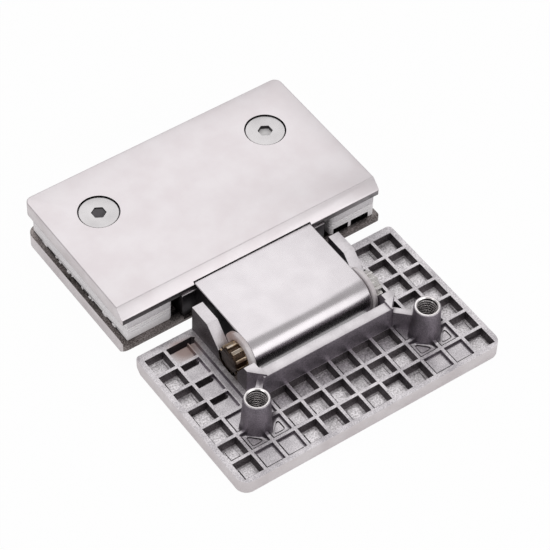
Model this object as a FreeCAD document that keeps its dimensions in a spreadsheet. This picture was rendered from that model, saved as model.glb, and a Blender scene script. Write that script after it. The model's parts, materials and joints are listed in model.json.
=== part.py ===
# Glass door hinge, laid flat: two equal leaves on one spindle.
# The clamp leaf (+Y) is bolted up on its stack of gaskets. The open leaf (-Y) has its
# front cover off, so the waffle casting, the bosses, the ears and the spindle show.
# X runs along the spindle, +Z is up, and z = 0 is the outer face of both leaves.
# The origin lies midway between the leaves.

import FreeCAD, Part
import math
import os
import Sketcher

V = FreeCAD.Vector
doc = FreeCAD.newDocument("GlassDoorHinge")

# Driving dimensions in millimetres, degrees and counts
SIZES = [
    # Leaves
    ("leaf_length", 90.0),
    ("leaf_width", 54.0),
    ("leaf_gap", 4.6),
    ("plate_height", 5.0),
    ("glass_gap", 8.0),
    ("skin", 1.6),
    ("far_corner", 3.5),
    ("hinge_corner", 1.4),
    ("bevel_run", 3.1),
    ("bevel_drop", 2.8),
    ("edge_round", 0.4),
    # Waffle inside each plate
    ("side_rim", 1.8),
    ("hinge_rim", 2.6),
    ("far_rim", 1.7),
    ("rib", 1.2),
    ("cell_columns", 12),
    ("cell_rows", 7),
    ("cell_draft", 8.0),
    ("pad_drop", 0.8),
    ("recess_depth", 0.5),
    ("recess_side", 4.4),
    # Screw bosses
    ("boss_x", 29.4),
    ("boss_y", 37.8),
    ("boss_base_r", 4.7),
    ("boss_draft", 2.6),
    ("open_boss_top", 15.7),
    ("boss_head_gap", 0.6),
    ("tapped_r", 2.95),
    ("bore_mouth", 0.25),
    ("bore_floor", 2.0),
    # Spindle seat in the open leaf
    ("axis_setback", 18.3),
    ("ear_wall", 3.6),
    ("ear_play", 0.2),
    ("ear_top", 14.6),
    ("ear_bend", 10.5),
    ("ear_slope_end", 7.0),
    ("ear_slope_top", 11.2),
    ("ear_nose_top", 13.8),
    ("seat_mouth", 7.6),
    ("seat_play", 0.1),
    ("nose_clear", 3.7),
    ("front_wall", 3.3),
    ("front_wall_top", 13.1),
    ("corner_cut", 4.0),
    ("web_top", 11.0),
    ("ledge_rise", 2.2),
    ("ledge_band", 1.6),
    ("slot_width", 1.5),
    ("slot_length", 5.4),
    ("rim_slot_length", 9.0),
    # Hinge block
    ("block_length", 40.6),
    ("block_height", 12.4),
    ("block_reach", 38.0),
    ("block_edge", 0.3),
    ("flange_length", 50.0),
    ("flange_height", 10.0),
    ("flange_inset", 1.0),
    ("pocket_play", 0.15),
    # Spindle, bushes and washers
    ("spindle_r", 4.55),
    ("running_play", 0.05),
    ("bush_wall", 0.5),
    ("bush_length", 8.0),
    ("washer_r", 7.1),
    ("washer_thick", 1.3),
    ("cam_flat", 0.5),
    ("spline_teeth", 10),
    ("spline_depth", 0.9),
    ("spline_gap", 1.35),
    ("spindle_chamfer", 0.4),
    # Detent behind the spindle
    ("follower_length", 21.6),
    ("follower_height", 6.8),
    ("follower_thick", 4.0),
    ("slide_play", 0.1),
    ("spring_x", 6.6),
    ("spring_r", 3.0),
    ("spring_wire", 0.9),
    ("spring_turns", 7),
    ("spigot_r", 1.7),
    ("spigot_length", 2.0),
    ("spring_play", 0.3),
    ("plug_r", 3.9),
    ("plug_length", 6.0),
    ("plug_inset", 0.5),
    ("plug_key", 4.0),
    ("plug_key_depth", 3.0),
    # Screws
    ("shank_play", 0.05),
    ("clamp_hole_r", 3.2),
    ("head_r", 5.95),
    ("head_ring", 0.35),
    ("head_sink", 0.35),
    ("head_land", 0.3),
    ("key_size", 4.0),
    ("key_depth", 2.4),
    ("clamp_tip", 3.6),
    ("small_screw_x1", 13.4),
    ("small_screw_x2", 21.9),
    ("small_screw_y", 9.5),
    ("small_shank_r", 1.95),
    ("small_head_r", 3.7),
    ("small_key", 2.5),
    ("small_screw_length", 8.0),
    ("small_key_depth", 1.4),
    ("sink_angle", 45.0),
    # Cover and gaskets on the clamp leaf
    ("cover_setback", 1.5),
    ("cover_corner", 2.4),
    ("gasket_inset", 1.7),
    ("gasket_thick", 3.0),
    ("gasket_notch", 55.6),
    ("gasket_notch_depth", 16.4),
    ("gasket_round", 1.5),
    ("gasket_hole_r", 5.2),
]

sheet = doc.addObject("Spreadsheet::Sheet", "Sizes")
for row, (alias, number) in enumerate(SIZES, start=1):
    sheet.set("A%d" % row, alias)
    sheet.set("B%d" % row, str(number))
    sheet.setAlias("B%d" % row, alias)
doc.recompute()


def size(expression):
    """The number that an expression in the sheet's names stands for."""
    value = sheet.evalExpression(expression.replace("Sizes.", ""))
    return float(getattr(value, "Value", value))


# Lengths that follow from the sheet, written once and used by several pieces
STACK = "(2 * Sizes.plate_height + Sizes.glass_gap)"
AXIS_Z = "(Sizes.plate_height + Sizes.glass_gap / 2)"
AXIS_Y = "(-Sizes.leaf_gap / 2 - Sizes.axis_setback)"
AXIS_TO_CLAMP = "(Sizes.axis_setback + Sizes.leaf_gap)"
CELL_X = "((Sizes.leaf_length - 2 * Sizes.side_rim + Sizes.rib) / Sizes.cell_columns - Sizes.rib)"
PITCH_X = "(%s + Sizes.rib)" % CELL_X
NOSE_R = "(Sizes.block_height / 2)"
EAR_IN = "(Sizes.block_length / 2 + Sizes.washer_thick + 2 * Sizes.ear_play)"
EAR_OUT = "(%s + Sizes.ear_wall)" % EAR_IN
FRONT_Y = "(Sizes.axis_setback + %s + Sizes.nose_clear)" % NOSE_R
BORE_R = "(Sizes.spindle_r + Sizes.running_play + Sizes.bush_wall)"
SEAT_R = "(Sizes.spindle_r + Sizes.seat_play)"
BLOCK_REAR = "(Sizes.block_reach - %s)" % AXIS_TO_CLAMP
FOLLOWER_FRONT = "(Sizes.spindle_r + Sizes.slide_play)"
FOLLOWER_BACK = "(%s + Sizes.follower_thick)" % FOLLOWER_FRONT
PLUG_FRONT = "(Sizes.block_reach - Sizes.plug_inset - Sizes.plug_length)"


# Helpers for sketches and features
tools = []


def origin_item(body, role):
    return [item for item in body.Origin.OriginFeatures if item.Role == role][0]


def new_body(name, label):
    body = doc.addObject("PartDesign::Body", name)
    body.Label = label
    return body


def new_tool(name):
    """A body that only shapes another one and isn't a piece itself."""
    body = new_body(name, name)
    tools.append(name)
    return body


def new_sketch(body, name, plane, offset):
    sketch = body.newObject("Sketcher::SketchObject", name)
    sketch.AttachmentSupport = [(origin_item(body, plane), "")]
    sketch.MapMode = "FlatFace"
    sketch.setExpression("AttachmentOffset.Base.z", offset)
    return sketch


def add_polygon(sketch, points):
    """A closed outline whose corners are bound to expressions."""
    corners = [V(size(px), size(py), 0) for px, py in points]
    first = sketch.GeometryCount
    count = len(corners)
    for i in range(count):
        sketch.addGeometry(Part.LineSegment(corners[i], corners[(i + 1) % count]), False)
    for i in range(count):
        joined = Sketcher.Constraint("Coincident", first + i, 2, first + (i + 1) % count, 1)
        sketch.addConstraint(joined)
    for i in range(count):
        for kind, text, value in (("DistanceX", points[i][0], corners[i].x),
                                  ("DistanceY", points[i][1], corners[i].y)):
            index = sketch.addConstraint(Sketcher.Constraint(kind, -1, 1, first + i, 1, value))
            sketch.setExpression("Constraints[%d]" % index, text)


def add_circle(sketch, cx, cy, radius):
    """A circle whose centre and radius are bound to expressions."""
    circle = Part.Circle(V(size(cx), size(cy), 0), V(0, 0, 1), size(radius))
    number = sketch.addGeometry(circle, False)
    for kind, text, value in (("DistanceX", cx, size(cx)), ("DistanceY", cy, size(cy))):
        index = sketch.addConstraint(Sketcher.Constraint(kind, -1, 1, number, 3, value))
        sketch.setExpression("Constraints[%d]" % index, text)
    index = sketch.addConstraint(Sketcher.Constraint("Radius", number, size(radius)))
    sketch.setExpression("Constraints[%d]" % index, radius)


def box_points(x0, y0, x1, y1):
    return [(x0, y0), (x1, y0), (x1, y1), (x0, y1)]


def minus(text):
    return "-(%s)" % text


def hexagon(cx, cy, across_flats):
    """Corner points of a hexagon of a given width across its flats."""
    points = []
    for k in range(6):
        angle = 60 * k
        reach = "(%s / 2 / cos(30 deg))" % across_flats
        points.append(("(%s + %s * cos(%d deg))" % (cx, reach, angle),
                       "(%s + %s * sin(%d deg))" % (cy, reach, angle)))
    return points


def pad(body, name, sketch, length, draft=None, both_ways=False, turned=False):
    feature = body.newObject("PartDesign::Pad", name)
    feature.Profile = sketch
    feature.setExpression("Length", length)
    feature.Midplane = both_ways
    feature.Reversed = turned
    if draft:
        feature.setExpression("TaperAngle", minus(draft))
    doc.recompute()
    return feature


def pocket(body, name, sketch, length=None, draft=None, both_ways=False, turned=False):
    """Cut a sketch into a body, through all where no length is given."""
    before = body.Shape.Volume
    feature = body.newObject("PartDesign::Pocket", name)
    feature.Profile = sketch
    if length is None:
        feature.Type = "ThroughAll"
    else:
        feature.setExpression("Length", length)
    feature.Midplane = both_ways
    feature.Reversed = turned
    if draft:
        feature.setExpression("TaperAngle", minus(draft))
    doc.recompute()
    if body.Shape.Volume >= before - 1e-6:
        raise RuntimeError("nothing was cut by " + name)
    return feature


def mirrored(body, name, originals, plane="YZ_Plane"):
    feature = body.newObject("PartDesign::Mirrored", name)
    feature.Originals = originals
    feature.MirrorPlane = (origin_item(body, plane), [""])
    body.Tip = feature
    doc.recompute()
    return feature


def join(body, name, tool):
    """Fuse another body into this one."""
    feature = body.newObject("PartDesign::Boolean", name)
    feature.setObjects([tool])
    feature.Type = "Fuse"
    doc.recompute()
    return feature


def carve(body, name, tool):
    """Cut another body out of this one."""
    before = body.Shape.Volume
    feature = body.newObject("PartDesign::Boolean", name)
    feature.setObjects([tool])
    feature.Type = "Cut"
    doc.recompute()
    if body.Shape.Volume >= before - 1e-6:
        raise RuntimeError("nothing was cut by " + name)
    return feature


def edges_where(feature, wanted):
    """Names of a feature's edges whose middle, direction and bounds pass a test."""
    names = []
    for number, edge in enumerate(feature.Shape.Edges, start=1):
        if wanted(edge):
            names.append("Edge%d" % number)
    return names


def round_edges(body, name, base, wanted, radius):
    feature = body.newObject("PartDesign::Fillet", name)
    feature.Base = (base, edges_where(base, wanted))
    feature.setExpression("Radius", radius)
    doc.recompute()
    return feature


def chamfer_edges(body, name, base, wanted, width):
    feature = body.newObject("PartDesign::Chamfer", name)
    feature.Base = (base, edges_where(base, wanted))
    feature.setExpression("Size", width)
    doc.recompute()
    return feature


def upright_at(y_value):
    """A test for straight edges along Z at a given Y."""
    def wanted(edge):
        box = edge.BoundBox
        upright = box.ZLength > 1 and box.XLength < 1e-3 and box.YLength < 1e-3
        return upright and abs(box.YMin - y_value) < 1e-3
    return wanted


# One waffle plate: the casting that both leaves and the cover share. Its own frame has
# y = 0 at the leaf's hinge-side edge, z = 0 at the outer face and the ribs' tops at
# plate_height. The setback moves the plate's own hinge-side edge in from y = 0.
def cell_y(setback):
    return ("((Sizes.leaf_width - %s - Sizes.hinge_rim - Sizes.far_rim + Sizes.rib)"
            " / Sizes.cell_rows - Sizes.rib)" % setback)


def waffle_plate(body, tag, setback, hinge_corner, far_corner):
    half = "Sizes.leaf_length / 2"
    outline = new_sketch(body, tag + "Outline", "XY_Plane", "0")
    add_polygon(outline, box_points(minus(half), setback, half, "Sizes.leaf_width"))
    plate = pad(body, tag + "Plate", outline, "Sizes.plate_height")
    rear = round_edges(body, tag + "FarCorners", plate,
                       upright_at(size("Sizes.leaf_width")), far_corner)
    round_edges(body, tag + "HingeCorners", rear, upright_at(size(setback)), hinge_corner)
    bevel = new_sketch(body, tag + "BevelSection", "YZ_Plane", "0")
    add_polygon(bevel, [
        (setback + " + 2 * Sizes.bevel_run", "-Sizes.bevel_drop"),
        (setback + " - Sizes.bevel_run", "2 * Sizes.bevel_drop"),
        (setback + " - Sizes.bevel_run", "-Sizes.bevel_drop")])
    bevelled = pocket(body, tag + "Bevel", bevel, both_ways=True)
    keep_off = size(setback) + size("Sizes.bevel_run")
    far_reach = size("Sizes.leaf_width")

    def outer_edge(edge):
        box = edge.BoundBox
        return box.ZMax < 1e-3 and box.ZLength < 1e-3 and (
            box.YMax > keep_off + (far_reach - keep_off) / 2)
    round_edges(body, tag + "OuterEdges", bevelled, outer_edge, "Sizes.edge_round")
    cell = new_sketch(body, tag + "Cell", "XY_Plane", "Sizes.plate_height")
    left = "(-Sizes.leaf_length / 2 + Sizes.side_rim)"
    start = "(%s + Sizes.hinge_rim)" % setback
    add_polygon(cell, box_points(left, start, "%s + %s" % (left, CELL_X),
                                 "%s + %s" % (start, cell_y(setback))))
    first = pocket(body, tag + "FirstCell", cell, "Sizes.plate_height - Sizes.skin",
                   "Sizes.cell_draft")
    grid = body.newObject("PartDesign::MultiTransform", tag + "Waffle")
    grid.Originals = [first]
    steps = []
    pitch_y = "(%s + Sizes.rib)" % cell_y(setback)
    for axis, pitch, count in (("X_Axis", PITCH_X, "Sizes.cell_columns"),
                               ("Y_Axis", pitch_y, "Sizes.cell_rows")):
        step = body.newObject("PartDesign::LinearPattern", tag + "Along" + axis[0])
        step.Direction = (origin_item(body, axis), [""])
        step.setExpression("Length", "%s * (%s - 1)" % (pitch, count))
        step.setExpression("Occurrences", count)
        steps.append(step)
    grid.Transformations = steps
    body.Tip = grid
    doc.recompute()
    return grid


def rib_x(i):
    """Middle of the i-th rib along X, counted from the plate's left rim."""
    return ("(-Sizes.leaf_length / 2 + Sizes.side_rim - Sizes.rib / 2 + %d * %s)"
            % (i, PITCH_X))


def rib_y(j):
    """Middle of the j-th rib along Y, counted from the plate's hinge-side rim."""
    return "(Sizes.hinge_rim - Sizes.rib / 2 + %d * (%s + Sizes.rib))" % (j, cell_y("0"))


# Screw bosses: a shallow floor round each, with two small recesses beside the boss, and a
# tapped bore with a bright chamfered mouth. What is raised and what is cut are made apart.
def raise_bosses(raised, tag, top):
    low = "Sizes.skin / 2"
    floors = new_sketch(raised, tag + "Floors", "XY_Plane", low)
    marks = new_sketch(raised, tag + "Recesses", "XY_Plane", "Sizes.plate_height - Sizes.pad_drop")
    for first in (1, 9):
        add_polygon(floors, box_points(rib_x(first), rib_y(4), rib_x(first + 2),
                                       "Sizes.leaf_width - Sizes.far_rim / 2"))
        for edge, way in ((first, 1), (first + 2, -1)):
            corner_x = "(%s + %d * Sizes.rib)" % (rib_x(edge), way)
            corner_y = "(%s - Sizes.rib)" % rib_y(6)
            add_polygon(marks, [
                (corner_x, corner_y),
                ("%s + %d * Sizes.recess_side" % (corner_x, way), corner_y),
                (corner_x, corner_y + " - Sizes.recess_side")])
    pad(raised, tag + "FloorPads", floors, "Sizes.plate_height - Sizes.pad_drop - " + low)
    pocket(raised, tag + "RecessCuts", marks, "Sizes.recess_depth")
    base = new_sketch(raised, tag + "BossBase", "XY_Plane", low)
    for sign in ("-", ""):
        add_circle(base, sign + "Sizes.boss_x", "Sizes.boss_y", "Sizes.boss_base_r")
    pad(raised, tag + "Bosses", base, "%s - %s" % (top, low), "Sizes.boss_draft")


def cut_bores(cuts, tag, top):
    bore = new_sketch(cuts, tag + "BoreCircles", "XY_Plane", "Sizes.bore_floor")
    mouth = new_sketch(cuts, tag + "MouthCircles", "XY_Plane", top)
    for sign in ("-", ""):
        add_circle(bore, sign + "Sizes.boss_x", "Sizes.boss_y", "Sizes.tapped_r")
        add_circle(mouth, sign + "Sizes.boss_x", "Sizes.boss_y",
                   "Sizes.tapped_r + Sizes.bore_mouth")
    pad(cuts, tag + "Bores", bore, "%s - Sizes.bore_floor + Sizes.rib" % top)
    pad(cuts, tag + "Mouths", mouth, "Sizes.bore_mouth", "Sizes.sink_angle", turned=True)


# Open leaf: what stands on the plate
LOW = "Sizes.skin / 2"
raised = new_tool("OpenRaised")
raise_bosses(raised, "Open", "Sizes.open_boss_top")

# Beside one ear the waffle stops at a raised ledge with short ribs and a slot before each,
# and a band at rib height runs between the ledge and the ear
LEDGE_IN = "(%s + Sizes.ledge_band)" % EAR_OUT
LEDGE_OUT = "(%s - Sizes.rib / 2)" % rib_x(11)
LEDGE_FAR = "(%s - Sizes.rib / 2)" % rib_y(4)
ledge_box = box_points(LEDGE_IN, "Sizes.hinge_rim", LEDGE_OUT, LEDGE_FAR)
ledge = new_sketch(raised, "LedgeOutline", "XY_Plane", LOW)
add_polygon(ledge, ledge_box)
pad(raised, "Ledge", ledge, "Sizes.skin / 2 + Sizes.ledge_rise")
band = new_sketch(raised, "BandOutline", "XY_Plane", LOW)
add_polygon(band, box_points(EAR_OUT + " - Sizes.ear_wall / 2", "Sizes.hinge_rim", LEDGE_IN,
                             LEDGE_FAR))
pad(raised, "Band", band, "Sizes.plate_height - Sizes.skin / 2")
slots = new_sketch(raised, "SlotOutlines", "XY_Plane", "Sizes.skin + Sizes.ledge_rise")
for j in range(4):
    start = "(%s + Sizes.rib / 2)" % rib_y(j)
    long = "Sizes.slot_length" if j else "Sizes.rim_slot_length"
    add_polygon(slots, box_points(LEDGE_OUT + " - " + long, start, LEDGE_OUT,
                                  start + " + Sizes.slot_width"))
pocket(raised, "LedgeSlots", slots, "Sizes.ledge_rise")
ribs = new_sketch(raised, "LedgeRibOutlines", "XY_Plane", LOW)
for j in range(1, 4):
    add_polygon(ribs, box_points(LEDGE_OUT + " - Sizes.slot_length - Sizes.rib",
                                 rib_y(j) + " - Sizes.rib / 2",
                                 LEDGE_OUT + " + Sizes.rib / 2", rib_y(j) + " + Sizes.rib / 2"))
pad(raised, "LedgeRibs", ribs, "Sizes.plate_height - Sizes.skin / 2")

front = new_sketch(raised, "FrontWallOutline", "XY_Plane", LOW)
add_polygon(front, box_points(minus(EAR_IN), FRONT_Y, EAR_IN, FRONT_Y + " + Sizes.front_wall"))
pad(raised, "FrontWall", front, "Sizes.front_wall_top - Sizes.skin / 2")

web = new_sketch(raised, "WebOutline", "XY_Plane", LOW)
front_end = FRONT_Y + " + Sizes.front_wall"
add_polygon(web, [
    (EAR_IN, FRONT_Y + " + Sizes.front_wall / 2"),
    (EAR_IN + " + 2 * Sizes.rib", front_end + " - Sizes.rib"),
    ("Sizes.boss_x", "Sizes.boss_y - 0.9 * Sizes.boss_base_r"),
    ("Sizes.boss_x", "Sizes.boss_y"),
    ("Sizes.boss_x - 0.8 * Sizes.boss_base_r", "Sizes.boss_y - Sizes.boss_base_r / 2"),
    (EAR_IN + " + Sizes.rib / 2", front_end),
    (EAR_IN, front_end)])
web_pad = pad(raised, "Web", web, "Sizes.web_top - Sizes.skin / 2")
mirrored(raised, "Webs", [web_pad])

ear = new_sketch(raised, "EarProfile", "YZ_Plane", EAR_IN)
axis_y = "Sizes.axis_setback"
add_polygon(ear, [
    ("Sizes.ear_play", "Sizes.bevel_drop + Sizes.ear_play"),
    ("Sizes.ear_play", "Sizes.ear_top"),
    (axis_y + " - Sizes.ear_bend", "Sizes.ear_top"),
    (axis_y + " - Sizes.ear_slope_end", "Sizes.ear_slope_top"),
    (axis_y + " - " + SEAT_R, AXIS_Z),
    (axis_y + " + " + SEAT_R, AXIS_Z),
    (axis_y + " + Sizes.seat_mouth", "Sizes.ear_nose_top"),
    (front_end, "Sizes.ear_nose_top"),
    (front_end, "Sizes.skin / 2"),
    ("Sizes.bevel_run + Sizes.ear_play", "Sizes.skin / 2")])
ear_pad = pad(raised, "Ear", ear, "Sizes.ear_wall")
cut = new_sketch(raised, "EarCornerOutline", "XY_Plane", "Sizes.ear_top + Sizes.rib")
add_polygon(cut, [
    (EAR_OUT + " + Sizes.rib", front_end + " - Sizes.corner_cut - Sizes.rib"),
    (EAR_OUT + " + Sizes.rib", front_end + " + Sizes.rib"),
    (EAR_OUT + " - Sizes.corner_cut - Sizes.rib", front_end + " + Sizes.rib")])
ear_cut = pocket(raised, "EarCorner", cut, "Sizes.ear_top + Sizes.rib - Sizes.skin")
mirrored(raised, "Ears", [ear_pad, ear_cut])

# Open leaf: what is cut through it
cuts = new_tool("OpenCuts")
cut_bores(cuts, "Open", "Sizes.open_boss_top")
notch = new_sketch(cuts, "NotchOutline", "XY_Plane", "0")
add_polygon(notch, box_points(minus(EAR_IN), "-Sizes.leaf_gap / 2", EAR_IN, FRONT_Y))
pad(cuts, "Notch", notch, "4 * " + STACK, both_ways=True)
seat = new_sketch(cuts, "SpindleSeat", "YZ_Plane", "0")
add_circle(seat, axis_y, AXIS_Z, SEAT_R)
pad(cuts, "SpindleSeats", seat, "2 * " + EAR_OUT, both_ways=True)

comb = new_tool("LedgeClearing")
clearing = new_sketch(comb, "ClearingOutline", "XY_Plane", "Sizes.skin")
add_polygon(clearing, ledge_box)
pad(comb, "Clearing", clearing, "Sizes.plate_height")

leaf = new_body("OpenLeafCasting", "open_leaf_casting")
waffle_plate(leaf, "Open", "0", "Sizes.hinge_corner", "Sizes.far_corner")
carve(leaf, "OpenClear", comb)
join(leaf, "OpenJoin", raised)
carve(leaf, "OpenCarve", cuts)
leaf.Placement.Rotation = FreeCAD.Rotation(V(0, 0, 1), 180)
leaf.setExpression("Placement.Base.y", "-Sizes.leaf_gap / 2")


# Seat for the hinge block in a plate of the clamp leaf, which is filled in there
def raise_seat(raised, tag):
    fill = new_sketch(raised, tag + "SeatFill", "XY_Plane", LOW)
    side = "(Sizes.flange_length / 2 + Sizes.pocket_play + Sizes.rib)"
    add_polygon(fill, box_points(minus(side), "Sizes.cover_setback + Sizes.hinge_rim", side,
                                 BLOCK_REAR + " + Sizes.pocket_play + Sizes.rib"))
    pad(raised, tag + "SeatBase", fill, "Sizes.plate_height - Sizes.skin / 2")


def cut_seat(cuts, tag):
    for part, half, tall in (("Block", "Sizes.block_length / 2", "Sizes.block_height"),
                             ("Flange", "Sizes.flange_length / 2", "Sizes.flange_height")):
        reach = "(%s + Sizes.pocket_play)" % half
        outline = new_sketch(cuts, tag + part + "Seat", "XY_Plane", "(%s - %s) / 2" % (STACK, tall))
        add_polygon(outline, box_points(minus(reach), "-Sizes.bevel_run", reach,
                                        BLOCK_REAR + " + Sizes.pocket_play"))
        pad(cuts, tag + part + "Space", outline, "%s / 2" % tall)


# Clamp leaf: back casting
BACK_BOSS = "(%s - Sizes.plate_height - Sizes.boss_head_gap)" % STACK
raised = new_tool("BackRaised")
raise_bosses(raised, "Back", BACK_BOSS)
raise_seat(raised, "Back")
cuts = new_tool("BackCuts")
cut_bores(cuts, "Back", BACK_BOSS)
cut_seat(cuts, "Back")
small_holes = new_sketch(cuts, "SmallScrewHoles", "XY_Plane", "-Sizes.skin")
small_lands = new_sketch(cuts, "SmallScrewLands", "XY_Plane", "-Sizes.skin")
small_heads = new_sketch(cuts, "SmallScrewHeads", "XY_Plane", "2 * Sizes.shank_play")
SMALL_PLACES = [(sign + place, "Sizes.small_screw_y") for sign in ("-", "")
                for place in ("Sizes.small_screw_x1", "Sizes.small_screw_x2")]
for px, py in SMALL_PLACES:
    add_circle(small_holes, px, py, "Sizes.small_shank_r + Sizes.shank_play")
    for sunk in (small_lands, small_heads):
        add_circle(sunk, px, py, "Sizes.small_head_r + Sizes.shank_play")
pad(cuts, "SmallHoles", small_holes, "Sizes.skin + Sizes.plate_height")
pad(cuts, "SmallLands", small_lands, "Sizes.skin + 2 * Sizes.shank_play")
pad(cuts, "SmallSinks", small_heads, "Sizes.small_head_r - Sizes.small_shank_r",
    "Sizes.sink_angle")
back = new_body("ClampBackCasting", "clamp_back_casting")
waffle_plate(back, "Back", "0", "Sizes.hinge_corner", "Sizes.far_corner")
join(back, "BackJoin", raised)
carve(back, "BackCarve", cuts)
back.setExpression("Placement.Base.y", "Sizes.leaf_gap / 2")

# Clamp leaf: front cover, the same waffle face down, with two countersunk holes
SINK_R = "(Sizes.head_r + Sizes.head_ring)"
raised = new_tool("CoverRaised")
raise_seat(raised, "Cover")
holds = new_sketch(raised, "HoleBossCircles", "XY_Plane", LOW)
cuts = new_tool("CoverCuts")
cut_seat(cuts, "Cover")
holes = new_sketch(cuts, "ClampHoles", "XY_Plane", "-Sizes.skin")
lands = new_sketch(cuts, "HeadLands", "XY_Plane", "-Sizes.skin")
sinks = new_sketch(cuts, "HeadSinks", "XY_Plane", "Sizes.head_sink + Sizes.head_land")
for sign in ("-", ""):
    add_circle(holds, sign + "Sizes.boss_x", "Sizes.boss_y", SINK_R + " + Sizes.rib")
    add_circle(holes, sign + "Sizes.boss_x", "Sizes.boss_y", "Sizes.clamp_hole_r")
    add_circle(lands, sign + "Sizes.boss_x", "Sizes.boss_y", SINK_R)
    add_circle(sinks, sign + "Sizes.boss_x", "Sizes.boss_y", SINK_R)
pad(raised, "HoleBosses", holds, "Sizes.plate_height - Sizes.skin / 2")
pad(cuts, "Holes", holes, "2 * Sizes.skin + Sizes.plate_height")
pad(cuts, "Lands", lands, "Sizes.skin + Sizes.head_sink + Sizes.head_land")
pad(cuts, "Sinks", sinks, SINK_R + " - Sizes.clamp_hole_r", "Sizes.sink_angle")
cover = new_body("ClampCover", "clamp_cover")
waffle_plate(cover, "Cover", "Sizes.cover_setback", "Sizes.edge_round", "Sizes.cover_corner")
join(cover, "CoverJoin", raised)
carve(cover, "CoverCarve", cuts)
cover.Placement.Rotation = FreeCAD.Rotation(V(0, 1, 0), 180)
cover.setExpression("Placement.Base.y", "Sizes.leaf_gap / 2")
cover.setExpression("Placement.Base.z", STACK)

# Clamp leaf: gaskets, U-shaped round the hinge block, two thick and two thin
thin = "(Sizes.glass_gap / 2 - Sizes.gasket_thick)"
layers = [
    ("gasket_back_thick", "Sizes.plate_height", "Sizes.gasket_thick"),
    ("gasket_back_thin", "Sizes.plate_height + Sizes.gasket_thick", thin),
    ("gasket_front_thin", "Sizes.plate_height + Sizes.glass_gap / 2", thin),
    ("gasket_front_thick", "Sizes.plate_height + Sizes.glass_gap - Sizes.gasket_thick",
     "Sizes.gasket_thick")]
for label, level, thick in layers:
    gasket = new_body(label.title().replace("_", ""), label)
    shape = new_sketch(gasket, label + "_outline", "XY_Plane", "0")
    side = "(Sizes.leaf_length / 2 - Sizes.gasket_inset)"
    mouth = "(Sizes.gasket_notch / 2)"
    near = "Sizes.gasket_inset"
    deep = "(Sizes.gasket_inset + Sizes.gasket_notch_depth)"
    far = "(Sizes.leaf_width - Sizes.gasket_inset)"
    add_polygon(shape, [
        (minus(side), near), (minus(mouth), near), (minus(mouth), deep),
        (mouth, deep), (mouth, near), (side, near), (side, far), (minus(side), far)])
    for sign in ("-", ""):
        add_circle(shape, sign + "Sizes.boss_x", "Sizes.boss_y", "Sizes.gasket_hole_r")
    slab = pad(gasket, label + "_slab", shape, thick)
    notch_x = size(mouth)
    near_y = size(near)

    def mouth_corner(edge):
        box = edge.BoundBox
        upright = box.XLength < 1e-6 and box.YLength < 1e-6
        return upright and abs(abs(box.XMin) - notch_x) < 1e-3 and abs(box.YMin - near_y) < 1e-3
    round_edges(gasket, label + "_mouth", slab, mouth_corner, "Sizes.gasket_round")
    gasket.setExpression("Placement.Base.y", "Sizes.leaf_gap / 2")
    gasket.setExpression("Placement.Base.z", level)

# Clamp leaf: hinge block, in a frame with its origin on the spindle's axis
block = new_body("HingeBlock", "hinge_block")
side_view = new_sketch(block, "NoseSection", "YZ_Plane", "0")
add_polygon(side_view, box_points("0", minus(NOSE_R), "Sizes.block_reach", NOSE_R))
pad(block, "BlockBody", side_view, "Sizes.block_length", both_ways=True)
nose = new_sketch(block, "NoseCircle", "YZ_Plane", "0")
add_circle(nose, "0", "0", NOSE_R)
bar = pad(block, "Nose", nose, "Sizes.block_length", both_ways=True)


def block_end_edge(edge):
    """Edges round the block's two end faces, but not across its rear."""
    box = edge.BoundBox
    return box.XLength < 1e-3 and box.YMin < size("Sizes.block_reach") - 1e-3


round_edges(block, "BlockEnds", bar, block_end_edge, "Sizes.block_edge")
flange = new_sketch(block, "FlangeOutline", "YZ_Plane", "0")
flange_front = "(%s + Sizes.flange_inset)" % AXIS_TO_CLAMP
add_polygon(flange, box_points(flange_front, "-Sizes.flange_height / 2",
                               "Sizes.block_reach", "Sizes.flange_height / 2"))
pad(block, "Flange", flange, "Sizes.flange_length", both_ways=True)
barrel = new_sketch(block, "SpindleBore", "YZ_Plane", "0")
add_circle(barrel, "0", "0", BORE_R)
pocket(block, "SpindleBoreCut", barrel, both_ways=True)
window = new_sketch(block, "FollowerWindow", "YZ_Plane", "0")
add_polygon(window, box_points("Sizes.spindle_r / 2",
                               "-Sizes.follower_height / 2 - Sizes.slide_play",
                               FOLLOWER_BACK + " + Sizes.spring_play",
                               "Sizes.follower_height / 2 + Sizes.slide_play"))
pocket(block, "FollowerSlide", window, "Sizes.follower_length + 2 * Sizes.slide_play",
       both_ways=True)
wells = new_sketch(block, "SpringWells", "XZ_Plane", minus(FOLLOWER_BACK))
mouths = new_sketch(block, "PlugThreads", "XZ_Plane", minus(PLUG_FRONT + " - Sizes.spring_play"))
for sign in ("-", ""):
    add_circle(wells, sign + "Sizes.spring_x", "0", "Sizes.spring_r + Sizes.spring_play")
    add_circle(mouths, sign + "Sizes.spring_x", "0", "Sizes.plug_r + Sizes.slide_play")
pocket(block, "SpringBores", wells, "Sizes.block_reach")
pocket(block, "PlugBores", mouths, "Sizes.block_reach")
threads = new_sketch(block, "SmallThreads", "XY_Plane", minus(NOSE_R))
for px, py in SMALL_PLACES:
    add_circle(threads, px, AXIS_TO_CLAMP + " + " + py, "Sizes.small_shank_r + Sizes.shank_play")
pocket(block, "SmallTaps", threads, "Sizes.small_screw_length - Sizes.skin", turned=True)
block.setExpression("Placement.Base.y", AXIS_Y)
block.setExpression("Placement.Base.z", AXIS_Z)


def on_axis(body):
    """Place a body whose own origin is the middle of the spindle."""
    body.setExpression("Placement.Base.y", AXIS_Y)
    body.setExpression("Placement.Base.z", AXIS_Z)


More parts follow.
